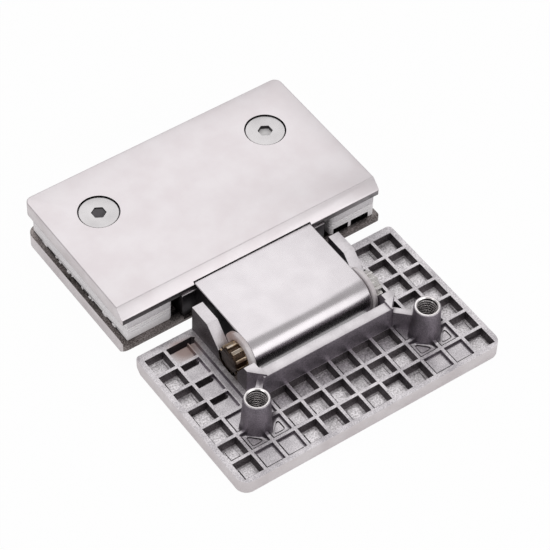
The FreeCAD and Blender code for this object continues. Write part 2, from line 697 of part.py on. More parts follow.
def ring(label, start, thick, outer_r, inner_r):
    """A plain ring on the spindle, from start outwards along X."""
    body = new_body(label.title().replace("_", ""), label)
    shape = new_sketch(body, label + "_circles", "YZ_Plane", start)
    add_circle(shape, "0", "0", outer_r)
    add_circle(shape, "0", "0", inner_r)
    pad(body, label + "_ring", shape, thick)
    on_axis(body)
    return body


# Clamp leaf: two bearing bushes inside the block
BUSH_IN = "(Sizes.spindle_r + Sizes.running_play)"
BUSH_OUT = "(%s - Sizes.running_play)" % BORE_R
ring("spindle_bush_left", "-Sizes.block_length / 2 + Sizes.slide_play", "Sizes.bush_length",
     BUSH_OUT, BUSH_IN)
ring("spindle_bush_right", "Sizes.block_length / 2 - Sizes.slide_play - Sizes.bush_length",
     "Sizes.bush_length", BUSH_OUT, BUSH_IN)

# Open leaf: two pale washers between the block and the ears
WASHER_START = "(Sizes.block_length / 2 + Sizes.ear_play)"
ring("washer_left", minus(WASHER_START + " + Sizes.washer_thick"), "Sizes.washer_thick",
     "Sizes.washer_r", BUSH_IN)
ring("washer_right", WASHER_START, "Sizes.washer_thick", "Sizes.washer_r", BUSH_IN)

# Open leaf: spindle with splined ends and four shallow cam flats in the middle
spindle = new_body("Spindle", "spindle")
round_bar = new_sketch(spindle, "SpindleCircle", "YZ_Plane", "0")
add_circle(round_bar, "0", "0", "Sizes.spindle_r")
bar = pad(spindle, "SpindleBar", round_bar, "2 * (%s - Sizes.ear_play)" % EAR_OUT, both_ways=True)


def rim_edge(edge):
    box = edge.BoundBox
    return box.XLength < 1e-6 and box.YLength > size("Sizes.spindle_r")


chamfer_edges(spindle, "SpindleEnds", bar, rim_edge, "Sizes.spindle_chamfer")
gap = new_sketch(spindle, "SplineGap", "YZ_Plane", EAR_IN + " - Sizes.ear_play")
root = "(Sizes.spindle_r - Sizes.spline_depth)"
crest = "(Sizes.spindle_r + Sizes.spline_depth)"
add_polygon(gap, [
    ("-Sizes.spline_gap / 2", root), ("Sizes.spline_gap / 2", root),
    ("Sizes.spline_gap * 0.7", crest), ("-Sizes.spline_gap * 0.7", crest)])
one_gap = pocket(spindle, "SplineGapCut", gap, "Sizes.ear_wall + Sizes.ear_play", turned=True)
spline = spindle.newObject("PartDesign::MultiTransform", "Splines")
spline.Originals = [one_gap]
turn = spindle.newObject("PartDesign::PolarPattern", "SplineTurn")
turn.Axis = (origin_item(spindle, "X_Axis"), [""])
turn.Angle = 360
turn.setExpression("Occurrences", "Sizes.spline_teeth")
flip = spindle.newObject("PartDesign::Mirrored", "SplineFlip")
flip.MirrorPlane = (origin_item(spindle, "YZ_Plane"), [""])
spline.Transformations = [turn, flip]
spindle.Tip = spline
doc.recompute()
flat = new_sketch(spindle, "CamFlat", "YZ_Plane", "0")
add_polygon(flat, box_points("-Sizes.spindle_r", "Sizes.spindle_r - Sizes.cam_flat",
                             "Sizes.spindle_r", crest))
one_flat = pocket(spindle, "CamFlatCut", flat, "Sizes.follower_length + 4 * Sizes.slide_play",
                  both_ways=True)
flats = spindle.newObject("PartDesign::PolarPattern", "CamFlats")
flats.Originals = [one_flat]
flats.Axis = (origin_item(spindle, "X_Axis"), [""])
flats.Angle = 360
flats.Occurrences = 4
spindle.Tip = flats
on_axis(spindle)

# Detent: the follower bar that the springs press on the spindle's flats
follower = new_body("CamFollower", "cam_follower")
bar_side = new_sketch(follower, "FollowerSide", "YZ_Plane", "0")
add_polygon(bar_side, box_points(FOLLOWER_FRONT, "-Sizes.follower_height / 2", FOLLOWER_BACK,
                                 "Sizes.follower_height / 2"))
pad(follower, "FollowerBar", bar_side, "Sizes.follower_length", both_ways=True)
spigots = new_sketch(follower, "SpigotCircles", "XZ_Plane", minus(FOLLOWER_BACK))
for sign in ("-", ""):
    add_circle(spigots, sign + "Sizes.spring_x", "0", "Sizes.spigot_r")
pad(follower, "Spigots", spigots, "Sizes.spigot_length", turned=True)
on_axis(follower)

# Detent: socket plugs that close the spring bores at the block's rear
plugs = new_body("SpringPlugs", "spring_plugs")
plug_circles = new_sketch(plugs, "PlugCircles", "XZ_Plane", minus(PLUG_FRONT))
plug_keys = new_sketch(plugs, "PlugKeys", "XZ_Plane",
                       minus("(%s + Sizes.plug_length)" % PLUG_FRONT))
for sign in ("-", ""):
    add_circle(plug_circles, sign + "Sizes.spring_x", "0", "Sizes.plug_r")
    add_polygon(plug_keys, hexagon(sign + "Sizes.spring_x", "0", "Sizes.plug_key"))
pad(plugs, "PlugBars", plug_circles, "Sizes.plug_length", turned=True)
pocket(plugs, "PlugSockets", plug_keys, "Sizes.plug_key_depth", turned=True)
on_axis(plugs)

# Countersunk socket screws, drawn face down from the face that their heads sit in
def socket_screws(label, places, top, land, head_r, shank_r, tip, key, key_depth):
    body = new_body(label.title().replace("_", ""), label)
    heads = new_sketch(body, label + "_heads", "XY_Plane", top)
    cones = new_sketch(body, label + "_cones", "XY_Plane", "%s + %s" % (top, land))
    shanks = new_sketch(body, label + "_shanks", "XY_Plane", "%s + %s" % (top, land))
    keys = new_sketch(body, label + "_keys", "XY_Plane", top)
    for px, py in places:
        add_circle(heads, px, py, head_r)
        add_circle(cones, px, py, head_r)
        add_circle(shanks, px, py, shank_r)
        add_polygon(keys, hexagon(px, py, key))
    pad(body, label + "_lands", heads, land)
    pad(body, label + "_sinks", cones, "%s - %s" % (head_r, shank_r), "Sizes.sink_angle")
    pad(body, label + "_bars", shanks, "%s - (%s) - %s" % (tip, top, land))
    pocket(body, label + "_sockets", keys, key_depth, turned=True)
    return body


clamp_screws = socket_screws(
    "clamp_screws", [("-Sizes.boss_x", "Sizes.boss_y"), ("Sizes.boss_x", "Sizes.boss_y")],
    "Sizes.head_sink", "Sizes.head_land", "Sizes.head_r", "(Sizes.tapped_r - Sizes.shank_play)",
    "(%s - Sizes.clamp_tip)" % STACK, "Sizes.key_size", "Sizes.key_depth")
clamp_screws.Placement.Rotation = FreeCAD.Rotation(V(0, 1, 0), 180)
clamp_screws.setExpression("Placement.Base.y", "Sizes.leaf_gap / 2")
clamp_screws.setExpression("Placement.Base.z", STACK)
block_screws = socket_screws(
    "block_screws", SMALL_PLACES, "Sizes.shank_play", "Sizes.shank_play", "Sizes.small_head_r",
    "Sizes.small_shank_r", "Sizes.small_screw_length", "Sizes.small_key",
    "Sizes.small_key_depth")
block_screws.setExpression("Placement.Base.y", "Sizes.leaf_gap / 2")


# Detent: two wire springs between the follower and the plugs, their end turns closed
def coil_spring(label, side):
    wire = size("Sizes.spring_wire")
    mean_r = size("Sizes.spring_r") - wire / 2
    start = size(FOLLOWER_BACK + " + Sizes.running_play") + wire / 2
    end = size(PLUG_FRONT + " - Sizes.running_play") - wire / 2
    turns = int(size("Sizes.spring_turns"))
    steps = 12
    sides = 6
    open_rise = (end - start - 2 * wire) / (turns - 2)
    rings = []
    level = start
    for k in range(turns * steps + 1):
        angle = 2 * math.pi * k / steps
        out = V(math.cos(angle), 0, math.sin(angle))
        centre = V(mean_r * out.x, level, mean_r * out.z)
        corners = []
        for q in range(sides):
            bend = 2 * math.pi * q / sides
            corners.append(centre + out * (wire / 2 * math.cos(bend))
                           + V(0, wire / 2 * math.sin(bend), 0))
        rings.append(corners)
        in_end_turn = k < steps or k >= (turns - 1) * steps
        level += (wire if in_end_turn else open_rise) / steps
    faces = []
    for low_ring, high_ring in zip(rings, rings[1:]):
        for q in range(sides):
            r = (q + 1) % sides
            faces.append((low_ring[q], low_ring[r], high_ring[r]))
            faces.append((low_ring[q], high_ring[r], high_ring[q]))
    faces.append(tuple(reversed(rings[0])))
    faces.append(tuple(rings[-1]))
    shell = Part.makeShell([Part.Face(Part.makePolygon(list(f) + [f[0]])) for f in faces])
    solid = Part.makeSolid(shell)
    if solid.Volume < 0:
        solid.reverse()
    spring = doc.addObject("Part::Feature", label.title().replace("_", ""))
    spring.Label = label
    spring.Shape = solid
    spring.Placement = FreeCAD.Placement(
        V(side * size("Sizes.spring_x"), size(AXIS_Y), size(AXIS_Z)), FreeCAD.Rotation())
    return spring


coil_spring("detent_spring_left", -1)
coil_spring("detent_spring_right", 1)

# Check every object, then write each piece
doc.recompute()
for item in doc.Objects:
    if "Invalid" in item.State or "Error" in item.State:
        raise RuntimeError("failed: " + item.Name)
os.makedirs("parts", exist_ok=True)
for item in doc.Objects:
    is_piece = item.TypeId in ("PartDesign::Body", "Part::Feature")
    if not is_piece or item.Label in tools:
        continue
    shape = item.Shape
    if shape.isNull() or not shape.isValid():
        raise RuntimeError("bad shape: " + item.Label)
    shape.exportStep(os.path.join("parts", item.Label + ".step"))
    print(item.Label, len(shape.Solids), "solids", round(shape.Volume, 1), "mm3")
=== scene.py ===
# %% [markdown]
# A glass door hinge, dressed in Blender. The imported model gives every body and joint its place,
# and this file gives the pieces their finish: a waffle die casting with bosses and ears, a
# satin hinge block, a splined spindle, soft gaskets, and countersunk screws.
# The first lines load the model. It comes in metres, with X along the spindle and Z up.

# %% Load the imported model
import json
import math
import random
import bpy
from mathutils import Matrix, Vector


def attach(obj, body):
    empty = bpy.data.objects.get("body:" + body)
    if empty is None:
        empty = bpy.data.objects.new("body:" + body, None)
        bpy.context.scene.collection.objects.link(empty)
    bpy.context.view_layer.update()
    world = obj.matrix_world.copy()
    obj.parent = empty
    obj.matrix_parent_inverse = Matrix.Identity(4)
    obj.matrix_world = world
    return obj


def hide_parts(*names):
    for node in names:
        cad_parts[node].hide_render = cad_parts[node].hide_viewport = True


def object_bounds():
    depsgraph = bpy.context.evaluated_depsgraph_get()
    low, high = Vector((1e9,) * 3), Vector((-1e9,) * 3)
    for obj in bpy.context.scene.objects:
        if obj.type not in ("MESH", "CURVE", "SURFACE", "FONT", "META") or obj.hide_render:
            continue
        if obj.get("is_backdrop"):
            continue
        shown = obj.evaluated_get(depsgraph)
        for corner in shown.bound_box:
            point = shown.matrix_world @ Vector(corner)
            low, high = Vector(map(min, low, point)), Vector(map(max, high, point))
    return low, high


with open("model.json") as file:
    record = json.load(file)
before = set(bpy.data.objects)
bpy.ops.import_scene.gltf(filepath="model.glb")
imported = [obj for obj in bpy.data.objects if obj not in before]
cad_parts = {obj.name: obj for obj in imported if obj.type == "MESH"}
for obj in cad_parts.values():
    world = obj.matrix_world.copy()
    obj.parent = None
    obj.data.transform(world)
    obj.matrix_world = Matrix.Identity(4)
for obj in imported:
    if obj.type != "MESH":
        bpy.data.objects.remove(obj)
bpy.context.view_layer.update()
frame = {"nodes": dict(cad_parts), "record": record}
scene = bpy.context.scene

MM = 0.001

# %% [markdown]
# The camera stands where the photographer stood. Its distance and direction came from matching
# rib crossings and plate corners, so a long lens looks down at the part from its left front.

# %% Camera
camera_data = bpy.data.cameras.new("camera")
camera = bpy.data.objects.new("camera", camera_data)
scene.collection.objects.link(camera)
right = Vector((0.817812, -0.575018, 0.023181))
up = Vector((0.424847, 0.630423, 0.649671))
back = Vector((-0.388186, -0.521461, 0.759862))
turn = Matrix((right, up, back)).transposed()
camera.matrix_world = Matrix.Translation((-0.290465, -0.397047, 0.584710)) @ turn.to_4x4()
camera_data.sensor_width = 36.0
camera_data.lens = 171.87
camera_data.clip_start = 0.01
camera_data.clip_end = 20.0
scene.camera = camera
scene.view_settings.view_transform = "Standard"
print("camera lens", camera_data.lens, "mm")

# %% [markdown]
# A white background is the floor's own colour, not extra light. The floor is a diffuse sheet for
# every ray that lights or shades, so it keeps the soft shadow under the part. Where the camera
# looks straight at it, a large share of plain white is mixed in, and metal that mirrors the floor
# sees a smaller share.

# %% Floor and world
def new_material(name):
    """An empty node material with its output node."""
    material = bpy.data.materials.new(name)
    material.use_nodes = True
    tree = material.node_tree
    tree.nodes.clear()
    output = tree.nodes.new("ShaderNodeOutputMaterial")
    return material, tree, output


def seen_share(tree, by_camera, by_mirror):
    """A share for rays from the camera, another for mirror-like or clear surfaces."""
    path = tree.nodes.new("ShaderNodeLightPath")
    both = tree.nodes.new("ShaderNodeMath")
    both.operation = "MAXIMUM"
    tree.links.new(path.outputs["Is Glossy Ray"], both.inputs[0])
    tree.links.new(path.outputs["Is Transmission Ray"], both.inputs[1])
    mirror = tree.nodes.new("ShaderNodeMath")
    mirror.operation = "MULTIPLY"
    mirror.inputs[1].default_value = by_mirror
    tree.links.new(both.outputs[0], mirror.inputs[0])
    direct = tree.nodes.new("ShaderNodeMath")
    direct.operation = "MULTIPLY_ADD"
    direct.inputs[1].default_value = by_camera
    tree.links.new(path.outputs["Is Camera Ray"], direct.inputs[0])
    tree.links.new(mirror.outputs[0], direct.inputs[2])
    return direct.outputs[0]


FLOOR_WHITE = 0.97
MIRRORED_WHITE = 0.35

bpy.ops.mesh.primitive_plane_add(size=6.0, location=(0, 0, -0.00005))
floor = bpy.context.object
floor.name = "floor"
floor_material, tree, output = new_material("floor_paper")
paper = tree.nodes.new("ShaderNodeBsdfDiffuse")
paper.inputs["Color"].default_value = (0.86, 0.86, 0.86, 1)
white = tree.nodes.new("ShaderNodeEmission")
white.inputs["Color"].default_value = (1, 1, 1, 1)
white.inputs["Strength"].default_value = 1.0
mix = tree.nodes.new("ShaderNodeMixShader")
tree.links.new(seen_share(tree, FLOOR_WHITE, MIRRORED_WHITE), mix.inputs[0])
tree.links.new(paper.outputs[0], mix.inputs[1])
tree.links.new(white.outputs[0], mix.inputs[2])
tree.links.new(mix.outputs[0], output.inputs["Surface"])
floor.data.materials.append(floor_material)
floor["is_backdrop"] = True

world = bpy.data.worlds.new("world")
scene.world = world
world.use_nodes = True
tree = world.node_tree
tree.nodes.clear()
output = tree.nodes.new("ShaderNodeOutputWorld")
soft = tree.nodes.new("ShaderNodeBackground")
soft.inputs["Color"].default_value = (1.0, 0.98, 0.985, 1)
soft.inputs["Strength"].default_value = 0.5
plain = tree.nodes.new("ShaderNodeBackground")
plain.inputs["Color"].default_value = (1, 1, 1, 1)
plain.inputs["Strength"].default_value = 1.0
mix = tree.nodes.new("ShaderNodeMixShader")
path = tree.nodes.new("ShaderNodeLightPath")
tree.links.new(path.outputs["Is Camera Ray"], mix.inputs[0])
tree.links.new(soft.outputs[0], mix.inputs[1])
tree.links.new(plain.outputs[0], mix.inputs[2])
tree.links.new(mix.outputs[0], output.inputs["Surface"])
print("floor and world ready")

# %% [markdown]
# The block's round nose mirrors the studio like a chart: a broad pale lamp behind, a darker gap
# overhead, a bright lamp in front, and then dark. The lamps stand where that chart shows them.

# %% Lamps
def soft_lamp(name, place, size, watts):
    """A rectangular lamp that faces the part's middle."""
    lamp_data = bpy.data.lights.new(name, "AREA")
    lamp_data.shape = "RECTANGLE"
    lamp_data.size, lamp_data.size_y = size
    lamp_data.energy = watts
    lamp = bpy.data.objects.new(name, lamp_data)
    scene.collection.objects.link(lamp)
    aim = (-Vector(place)).to_track_quat("-Z", "Y")
    lamp.matrix_world = Matrix.Translation(place) @ aim.to_matrix().to_4x4()
    return lamp


soft_lamp("lamp_back", (0.22, 0.50, 0.80), (0.9, 0.95), 2.05)
soft_lamp("lamp_front", (0.24, -0.73, 0.43), (0.8, 0.60), 1.65)
soft_lamp("lamp_side", (-0.70, -0.10, 0.35), (0.3, 0.5), 0.75)

# %% [markdown]
# Every finish is one recipe with other numbers: a base colour that wanders between two shades,
# fine speckle for the cast or blasted skin, and a bump from the same noise. A casting's upright
# walls can be painted darker than its flats, as painted shade, and grease or rust can stain it
# round a given point; the same tint round a point also paints shade on one finish and a
# reflection on another.

# %% A recipe for worked metal
def metal(name, dark, light, rough, grain_size, grain_depth, metallic=1.0, speckle=0.3,
          walls=None, stains=()):
    """A finish between two shades. Grain size and depth are in mm."""
    material, tree, output = new_material(name)
    shader = tree.nodes.new("ShaderNodeBsdfPrincipled")
    shader.inputs["Metallic"].default_value = metallic
    place = tree.nodes.new("ShaderNodeTexCoord")
    wander = tree.nodes.new("ShaderNodeTexNoise")
    wander.inputs["Scale"].default_value = 140.0
    wander.inputs["Detail"].default_value = 5.0
    grain = tree.nodes.new("ShaderNodeTexNoise")
    grain.inputs["Scale"].default_value = 1.0 / (grain_size * MM)
    grain.inputs["Detail"].default_value = 2.0
    for noise in (wander, grain):
        tree.links.new(place.outputs["Object"], noise.inputs["Vector"])
    blend = tree.nodes.new("ShaderNodeMix")
    blend.data_type = "FLOAT"
    blend.inputs[0].default_value = speckle
    tree.links.new(wander.outputs["Fac"], blend.inputs[2])
    tree.links.new(grain.outputs["Fac"], blend.inputs[3])
    ramp = tree.nodes.new("ShaderNodeValToRGB")
    ramp.color_ramp.elements[0].position = 0.38
    ramp.color_ramp.elements[0].color = (*dark, 1)
    ramp.color_ramp.elements[1].position = 0.62
    ramp.color_ramp.elements[1].color = (*light, 1)
    tree.links.new(blend.outputs[0], ramp.inputs[0])
    colour = ramp.outputs[0]
    # Steep faces are darkened: painted shade.
    if walls:
        colour = shade_steep_walls(tree, place, colour, walls)
    # Tints round a point: stains, and on two finishes painted shade and a painted reflection.
    for point, radius, tint in stains:
        colour = stain(tree, place, wander, colour, point, radius, tint)
    tree.links.new(colour, shader.inputs["Base Color"])
    uneven = tree.nodes.new("ShaderNodeMapRange")
    uneven.inputs["To Min"].default_value = rough - 0.06
    uneven.inputs["To Max"].default_value = rough + 0.06
    tree.links.new(grain.outputs["Fac"], uneven.inputs["Value"])
    tree.links.new(uneven.outputs[0], shader.inputs["Roughness"])
    bump = tree.nodes.new("ShaderNodeBump")
    bump.inputs["Strength"].default_value = 1.0
    bump.inputs["Distance"].default_value = grain_depth * MM
    tree.links.new(grain.outputs["Fac"], bump.inputs["Height"])
    tree.links.new(bump.outputs[0], shader.inputs["Normal"])
    tree.links.new(shader.outputs[0], output.inputs["Surface"])
    return material


# %% [markdown]
# The painted wall shade and the tints round a point need no image. A steep surface is told by its
# normal's upward part, and a tinted spot (stains, and also painted shade and a painted reflection)
# by the distance from a point, so both stay on the piece when it turns with its leaf.

# %% Walls and stains
def mix_colour(tree, share, first, second, kind="MIX"):
    """Blend two colours; the second may be a socket or three plain numbers."""
    blend = tree.nodes.new("ShaderNodeMix")
    blend.data_type = "RGBA"
    blend.blend_type = kind
    tree.links.new(share, blend.inputs[0])
    tree.links.new(first, blend.inputs[6])
    if isinstance(second, tuple):
        blend.inputs[7].default_value = (*second, 1)
    else:
        tree.links.new(second, blend.inputs[7])
    return blend.outputs[2]


def shade_steep_walls(tree, place, colour, walls):
    """Multiply the colour where the surface is steep: painted shade on the walls."""
    parts = tree.nodes.new("ShaderNodeSeparateXYZ")
    tree.links.new(place.outputs["Normal"], parts.inputs[0])
    level = tree.nodes.new("ShaderNodeMath")
    level.operation = "ABSOLUTE"
    tree.links.new(parts.outputs["Z"], level.inputs[0])
    steep = tree.nodes.new("ShaderNodeMapRange")
    steep.inputs["From Min"].default_value = 0.35
    steep.inputs["From Max"].default_value = 0.85
    steep.inputs["To Min"].default_value = 1.0
    steep.inputs["To Max"].default_value = 0.0
    tree.links.new(level.outputs[0], steep.inputs["Value"])
    return mix_colour(tree, steep.outputs[0], colour, walls, "MULTIPLY")


def stain(tree, place, noise, colour, point, radius, tint):
    """A patchy tint round a point, fading out at a given distance, both in mm; for stains, painted
    shade and a painted reflection.
    """
    away = tree.nodes.new("ShaderNodeVectorMath")
    away.operation = "DISTANCE"
    away.inputs[1].default_value = [v * MM for v in point]
    tree.links.new(place.outputs["Object"], away.inputs[0])
    near = tree.nodes.new("ShaderNodeMapRange")
    near.inputs["From Min"].default_value = radius * MM
    near.inputs["From Max"].default_value = radius * 0.4 * MM
    tree.links.new(away.outputs["Value"], near.inputs["Value"])
    patchy = tree.nodes.new("ShaderNodeMapRange")
    patchy.inputs["From Min"].default_value = 0.4
    patchy.inputs["From Max"].default_value = 0.55
    tree.links.new(noise.outputs["Fac"], patchy.inputs["Value"])
    share = tree.nodes.new("ShaderNodeMath")
    share.operation = "MULTIPLY"
    tree.links.new(near.outputs[0], share.inputs[0])
    tree.links.new(patchy.outputs[0], share.inputs[1])
    return mix_colour(tree, share.outputs[0], colour, tint)


# %% [markdown]
# Each finish of the real part gets its own numbers. The castings are zinc: speckled and painted
# lighter in the cells' floors, smoother and painted lighter on top, both as painted light, and
# painted dark on the cells' walls as shade, where light hardly reaches. The back plate's darker
# finish is partly painted shade, and the finishes named shadowed and the cover's lip are painted
# shade. The block and the cover are ground to a satin skin, and only the gaskets, washers, bushes
# and the screws' socket floors aren't metal; those floors are painted pale as a highlight. A stain
# is a point in mm, how far it reaches, and its colour: old grease sits at the left ear, while the
# same kind of tint paints shade at the back plate's left end and a reflection on the cover's lip.

# %% The finishes
# Painted shade: the colour that darkens the castings' steep faces.
CAST_WALL_SHADE = (0.42, 0.39, 0.43)
CAST_STAINS = [((-24.6, -20, 8), 7.5, (0.05, 0.032, 0.025)),
               ((-23, -25, 8), 5, (0.10, 0.07, 0.06)),
               ((-31, -6.5, 3.5), 6, (0.42, 0.33, 0.31)),
               ((-24, -27, 11), 4, (0.20, 0.15, 0.14))]
WASHER_STAINS = [((-21, -16.5, 14.5), 7.5, (0.42, 0.31, 0.28))]
SPINDLE_STAINS = [((-23.5, -20.6, 9), 9, (0.34, 0.23, 0.12)),
                  ((-25.8, -20.6, 8.5), 5.5, (0.05, 0.03, 0.02))]
# Painted shade: the back plate is darkened round its left end, under the cover's overhang.
RIM_SHADE = [((-45, 30, 5), 18, (0.05, 0.045, 0.04))]
# Painted reflection: the cover's lip is lightened towards its right end.
LIP_REFLECTION = [((44, 4, 14.5), 26, (0.34, 0.32, 0.33))]
finishes = {}


def finish(name, *numbers, **extras):
    finishes[name] = metal(name, *numbers, **extras)


finish("zinc_cast", (0.44, 0.42, 0.44), (0.84, 0.81, 0.83), 0.48, 0.32, 0.03,
       speckle=0.55, walls=CAST_WALL_SHADE, stains=CAST_STAINS)
# Cell floors: coarser speckle, and painted lighter as painted light, since the cells get little
# light.
finish("zinc_floor_speckle_and_light", (0.46, 0.44, 0.45), (0.93, 0.90, 0.92), 0.45, 0.55, 0.06,
       speckle=0.7, walls=CAST_WALL_SHADE, stains=CAST_STAINS)
# Tops: smoother, and painted lighter as a painted highlight.
finish("zinc_top", (0.62, 0.59, 0.61), (0.80, 0.77, 0.79), 0.45, 0.45, 0.03)
# The back plate's finish: partly its raw cast colour, partly painted shade beneath the gaskets and
# the cover.
finish("zinc_rim", (0.10, 0.085, 0.08), (0.42, 0.38, 0.37), 0.5, 0.45, 0.03,
       speckle=0.6, stains=RIM_SHADE)
# Painted shade: a dark finish for the cells' walls and the left ear's outer face.
finish("zinc_wall_shade", (0.09, 0.08, 0.085), (0.21, 0.19, 0.20), 0.5, 0.4, 0.03, speckle=0.6)
finish("grease", (0.02, 0.014, 0.011), (0.10, 0.065, 0.045), 0.35, 0.35, 0.03, speckle=0.7)
finish("shadowed", (0.045, 0.042, 0.045), (0.09, 0.085, 0.09), 0.4, 0.4, 0.01)
# Painted shade: the cover's hinge-side lip, lightened at its right end by a painted reflection.
finish("lip_shade", (0.10, 0.095, 0.10), (0.17, 0.16, 0.165), 0.4, 0.4, 0.01, stains=LIP_REFLECTION)
finish("satin_plate", (0.69, 0.645, 0.66), (0.73, 0.695, 0.71), 0.36, 0.25, 0.002)
finish("satin_edge", (0.70, 0.65, 0.66), (0.80, 0.76, 0.77), 0.42, 0.3, 0.006, metallic=0.7)
finish("satin_block", (0.64, 0.61, 0.63), (0.70, 0.67, 0.69), 0.27, 0.25, 0.001)
finish("machined", (0.70, 0.67, 0.67), (0.88, 0.85, 0.85), 0.25, 0.3, 0.004)
finish("gasket_fibre", (0.86, 0.84, 0.85), (0.98, 0.96, 0.97), 0.8, 0.35, 0.06,
       metallic=0.0, speckle=0.6)
finish("gasket_grey", (0.64, 0.62, 0.64), (0.82, 0.79, 0.81), 0.8, 0.35, 0.06,
       metallic=0.0, speckle=0.6)
finish("bush_plastic", (0.72, 0.70, 0.66), (0.80, 0.78, 0.74), 0.5, 0.5, 0.005, metallic=0.0)
finish("washer_plastic", (0.62, 0.57, 0.58), (0.78, 0.74, 0.75), 0.4, 0.5, 0.005,
       metallic=0.0, stains=WASHER_STAINS)
finish("spindle_steel", (0.70, 0.68, 0.66), (0.92, 0.90, 0.88), 0.22, 0.6, 0.004,
       stains=SPINDLE_STAINS)
finish("screw_steel", (0.53, 0.515, 0.52), (0.62, 0.605, 0.61), 0.28, 0.4, 0.004)
# Painted highlight: a pale, plain finish for the screws' socket floors.
finish("socket_floor_highlight", (0.84, 0.83, 0.83), (0.95, 0.94, 0.94), 0.6, 0.3, 0.004, metallic=0.0)
finish("spring_steel", (0.25, 0.25, 0.26), (0.40, 0.40, 0.42), 0.35, 0.5, 0.003)

# The CAD nodes take the finish that the record names for them.
for row in frame["record"]["subparts"]:
    node = frame["nodes"][row["node"]]
    node.data.materials.clear()
    node.data.materials.append(finishes[row["material_slot"]])
print("finishes:", len(finishes))

# %% [markdown]
# The pieces below are shaped as by hand: a primitive is added at its size, faces are picked by
# where they lie, and edit-mode tools cut, inset and extrude them. These helpers hold the steps
# that come back for every piece.

# %% Helpers for shaping
import bmesh


def only(obj):
    """Select one object and nothing else."""
    bpy.ops.object.select_all(action="DESELECT")
    obj.select_set(True)
    bpy.context.view_layer.objects.active = obj


def shape(obj, mode="FACE"):
    """Open a mesh in edit mode with nothing selected."""
    only(obj)
    bpy.ops.object.mode_set(mode="EDIT")
    bpy.ops.mesh.select_mode(type=mode)
    bpy.ops.mesh.select_all(action="DESELECT")


def pick(obj, wanted, kind="faces"):
    """Select the faces, edges or verts of the open mesh whose middle passes a test, in mm."""
    bpy.ops.mesh.select_all(action="DESELECT")
    mesh = bmesh.from_edit_mesh(obj.data)
    count = 0
    for item in getattr(mesh, kind):
        if kind == "faces":
            middle = item.calc_center_median()
        elif kind == "edges":
            middle = (item.verts[0].co + item.verts[1].co) / 2
        else:
            middle = item.co
        if wanted(middle / MM, item):
            item.select_set(True)
            count += 1
    mesh.select_flush_mode()
    bmesh.update_edit_mesh(obj.data)
    return count


def done(obj):
    """Merge doubles, turn the faces outwards and leave edit mode."""
    bpy.ops.mesh.select_all(action="SELECT")
    bpy.ops.mesh.remove_doubles(threshold=0.002 * MM)
    bpy.ops.mesh.normals_make_consistent(inside=False)
    bpy.ops.object.mode_set(mode="OBJECT")
    return obj


# %% [markdown]
# Every piece starts from one of two primitives, a cube or a cone with its two radii, given by
# its ends in mm. Bevel and Boolean modifiers then round it, join it and cut it.

# %% Primitives and modifiers
def box(name, low, high):
    """A cube primitive stretched between two corners, in mm, its place in its mesh."""
    middle = [(a + b) / 2 * MM for a, b in zip(low, high)]
    bpy.ops.mesh.primitive_cube_add(size=1, location=middle)
    obj = bpy.context.object
    obj.name = name
    obj.scale = [(b - a) * MM for a, b in zip(low, high)]
    bpy.ops.object.transform_apply(location=True, rotation=True, scale=True)
    return obj


def round_bar(name, axis, start, end, radius, at, end_radius=None, sides=48):
    """A cylinder or cone primitive along X, Y or Z from start to end, in mm."""
    turns = {"X": (0, math.pi / 2, 0), "Y": (-math.pi / 2, 0, 0), "Z": (0, 0, 0)}
    place = list(at)
    place.insert("XYZ".index(axis), (start + end) / 2)
    bpy.ops.mesh.primitive_cone_add(
        vertices=sides, radius1=radius * MM, radius2=(end_radius or radius) * MM,
        depth=(end - start) * MM, location=[v * MM for v in place], rotation=turns[axis])
    obj = bpy.context.object
    obj.name = name
    bpy.ops.object.transform_apply(location=True, rotation=True, scale=True)
    return obj


def soften(obj, width, segments=2, angle=35):
    """Round the edges with a Bevel modifier and apply it."""
    only(obj)
    bevel = obj.modifiers.new("soften", "BEVEL")
    bevel.width = width * MM
    bevel.segments = segments
    bevel.limit_method = "ANGLE"
    bevel.angle_limit = math.radians(angle)
    bevel.use_clamp_overlap = True
    bpy.ops.object.modifier_apply(modifier="soften")
    return obj


def combine(obj, tool, kind):
    """Join or cut with another closed piece, which is then deleted."""
    only(obj)
    step = obj.modifiers.new("step", "BOOLEAN")
    step.operation = kind
    step.solver = "EXACT"
    step.object = tool
    bpy.ops.object.modifier_apply(modifier="step")
    bpy.data.objects.remove(tool)
    return obj


# %% [markdown]
# A finished mesh is moved to its place, shaded and painted. The place goes into the mesh, so that
# the object itself stays at the origin and the patterns keep still when the hinge turns.

# %% Placing and painting
def place_as(obj, matrix):
    """Move the finished mesh to its place in the part and leave the object at the origin."""
    only(obj)
    obj.matrix_world = matrix
    bpy.ops.object.transform_apply(location=True, rotation=True, scale=True)
    return obj


def finish_piece(obj, finish, body, *nodes, angle=30):
    """Smooth shading up to an angle, the finish, and what the piece stands for."""
    only(obj)
    bpy.ops.object.shade_smooth_by_angle(angle=math.radians(angle))
    obj.data.materials.clear()
    obj.data.materials.append(finishes[finish])
    if nodes:
        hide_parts(*nodes)
    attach(obj, body)
    print(obj.name, len(obj.data.polygons), "faces")
    return obj


def paint(obj, finish, wanted):
    """Give the faces whose middle (mm) and normal pass a test another finish."""
    names = [material.name for material in obj.data.materials]
    if finish not in names:
        names.append(finish)
        obj.data.materials.append(finishes[finish])
    slot = names.index(finish)
    for face in obj.data.polygons:
        if wanted(face.center / MM, face.normal):
            face.material_index = slot


# %% [markdown]
# Three pieces share the waffle plate: both leaf castings and the cover, which lies face down.
# The plate is one cube. Its far corners are bevelled, its hinge side is sliced off on a slope,
# and the inner face is cut along both sides of every rib. Each cell is then an inset that goes
# down: its thickness is the draft that lets the casting leave its mould.

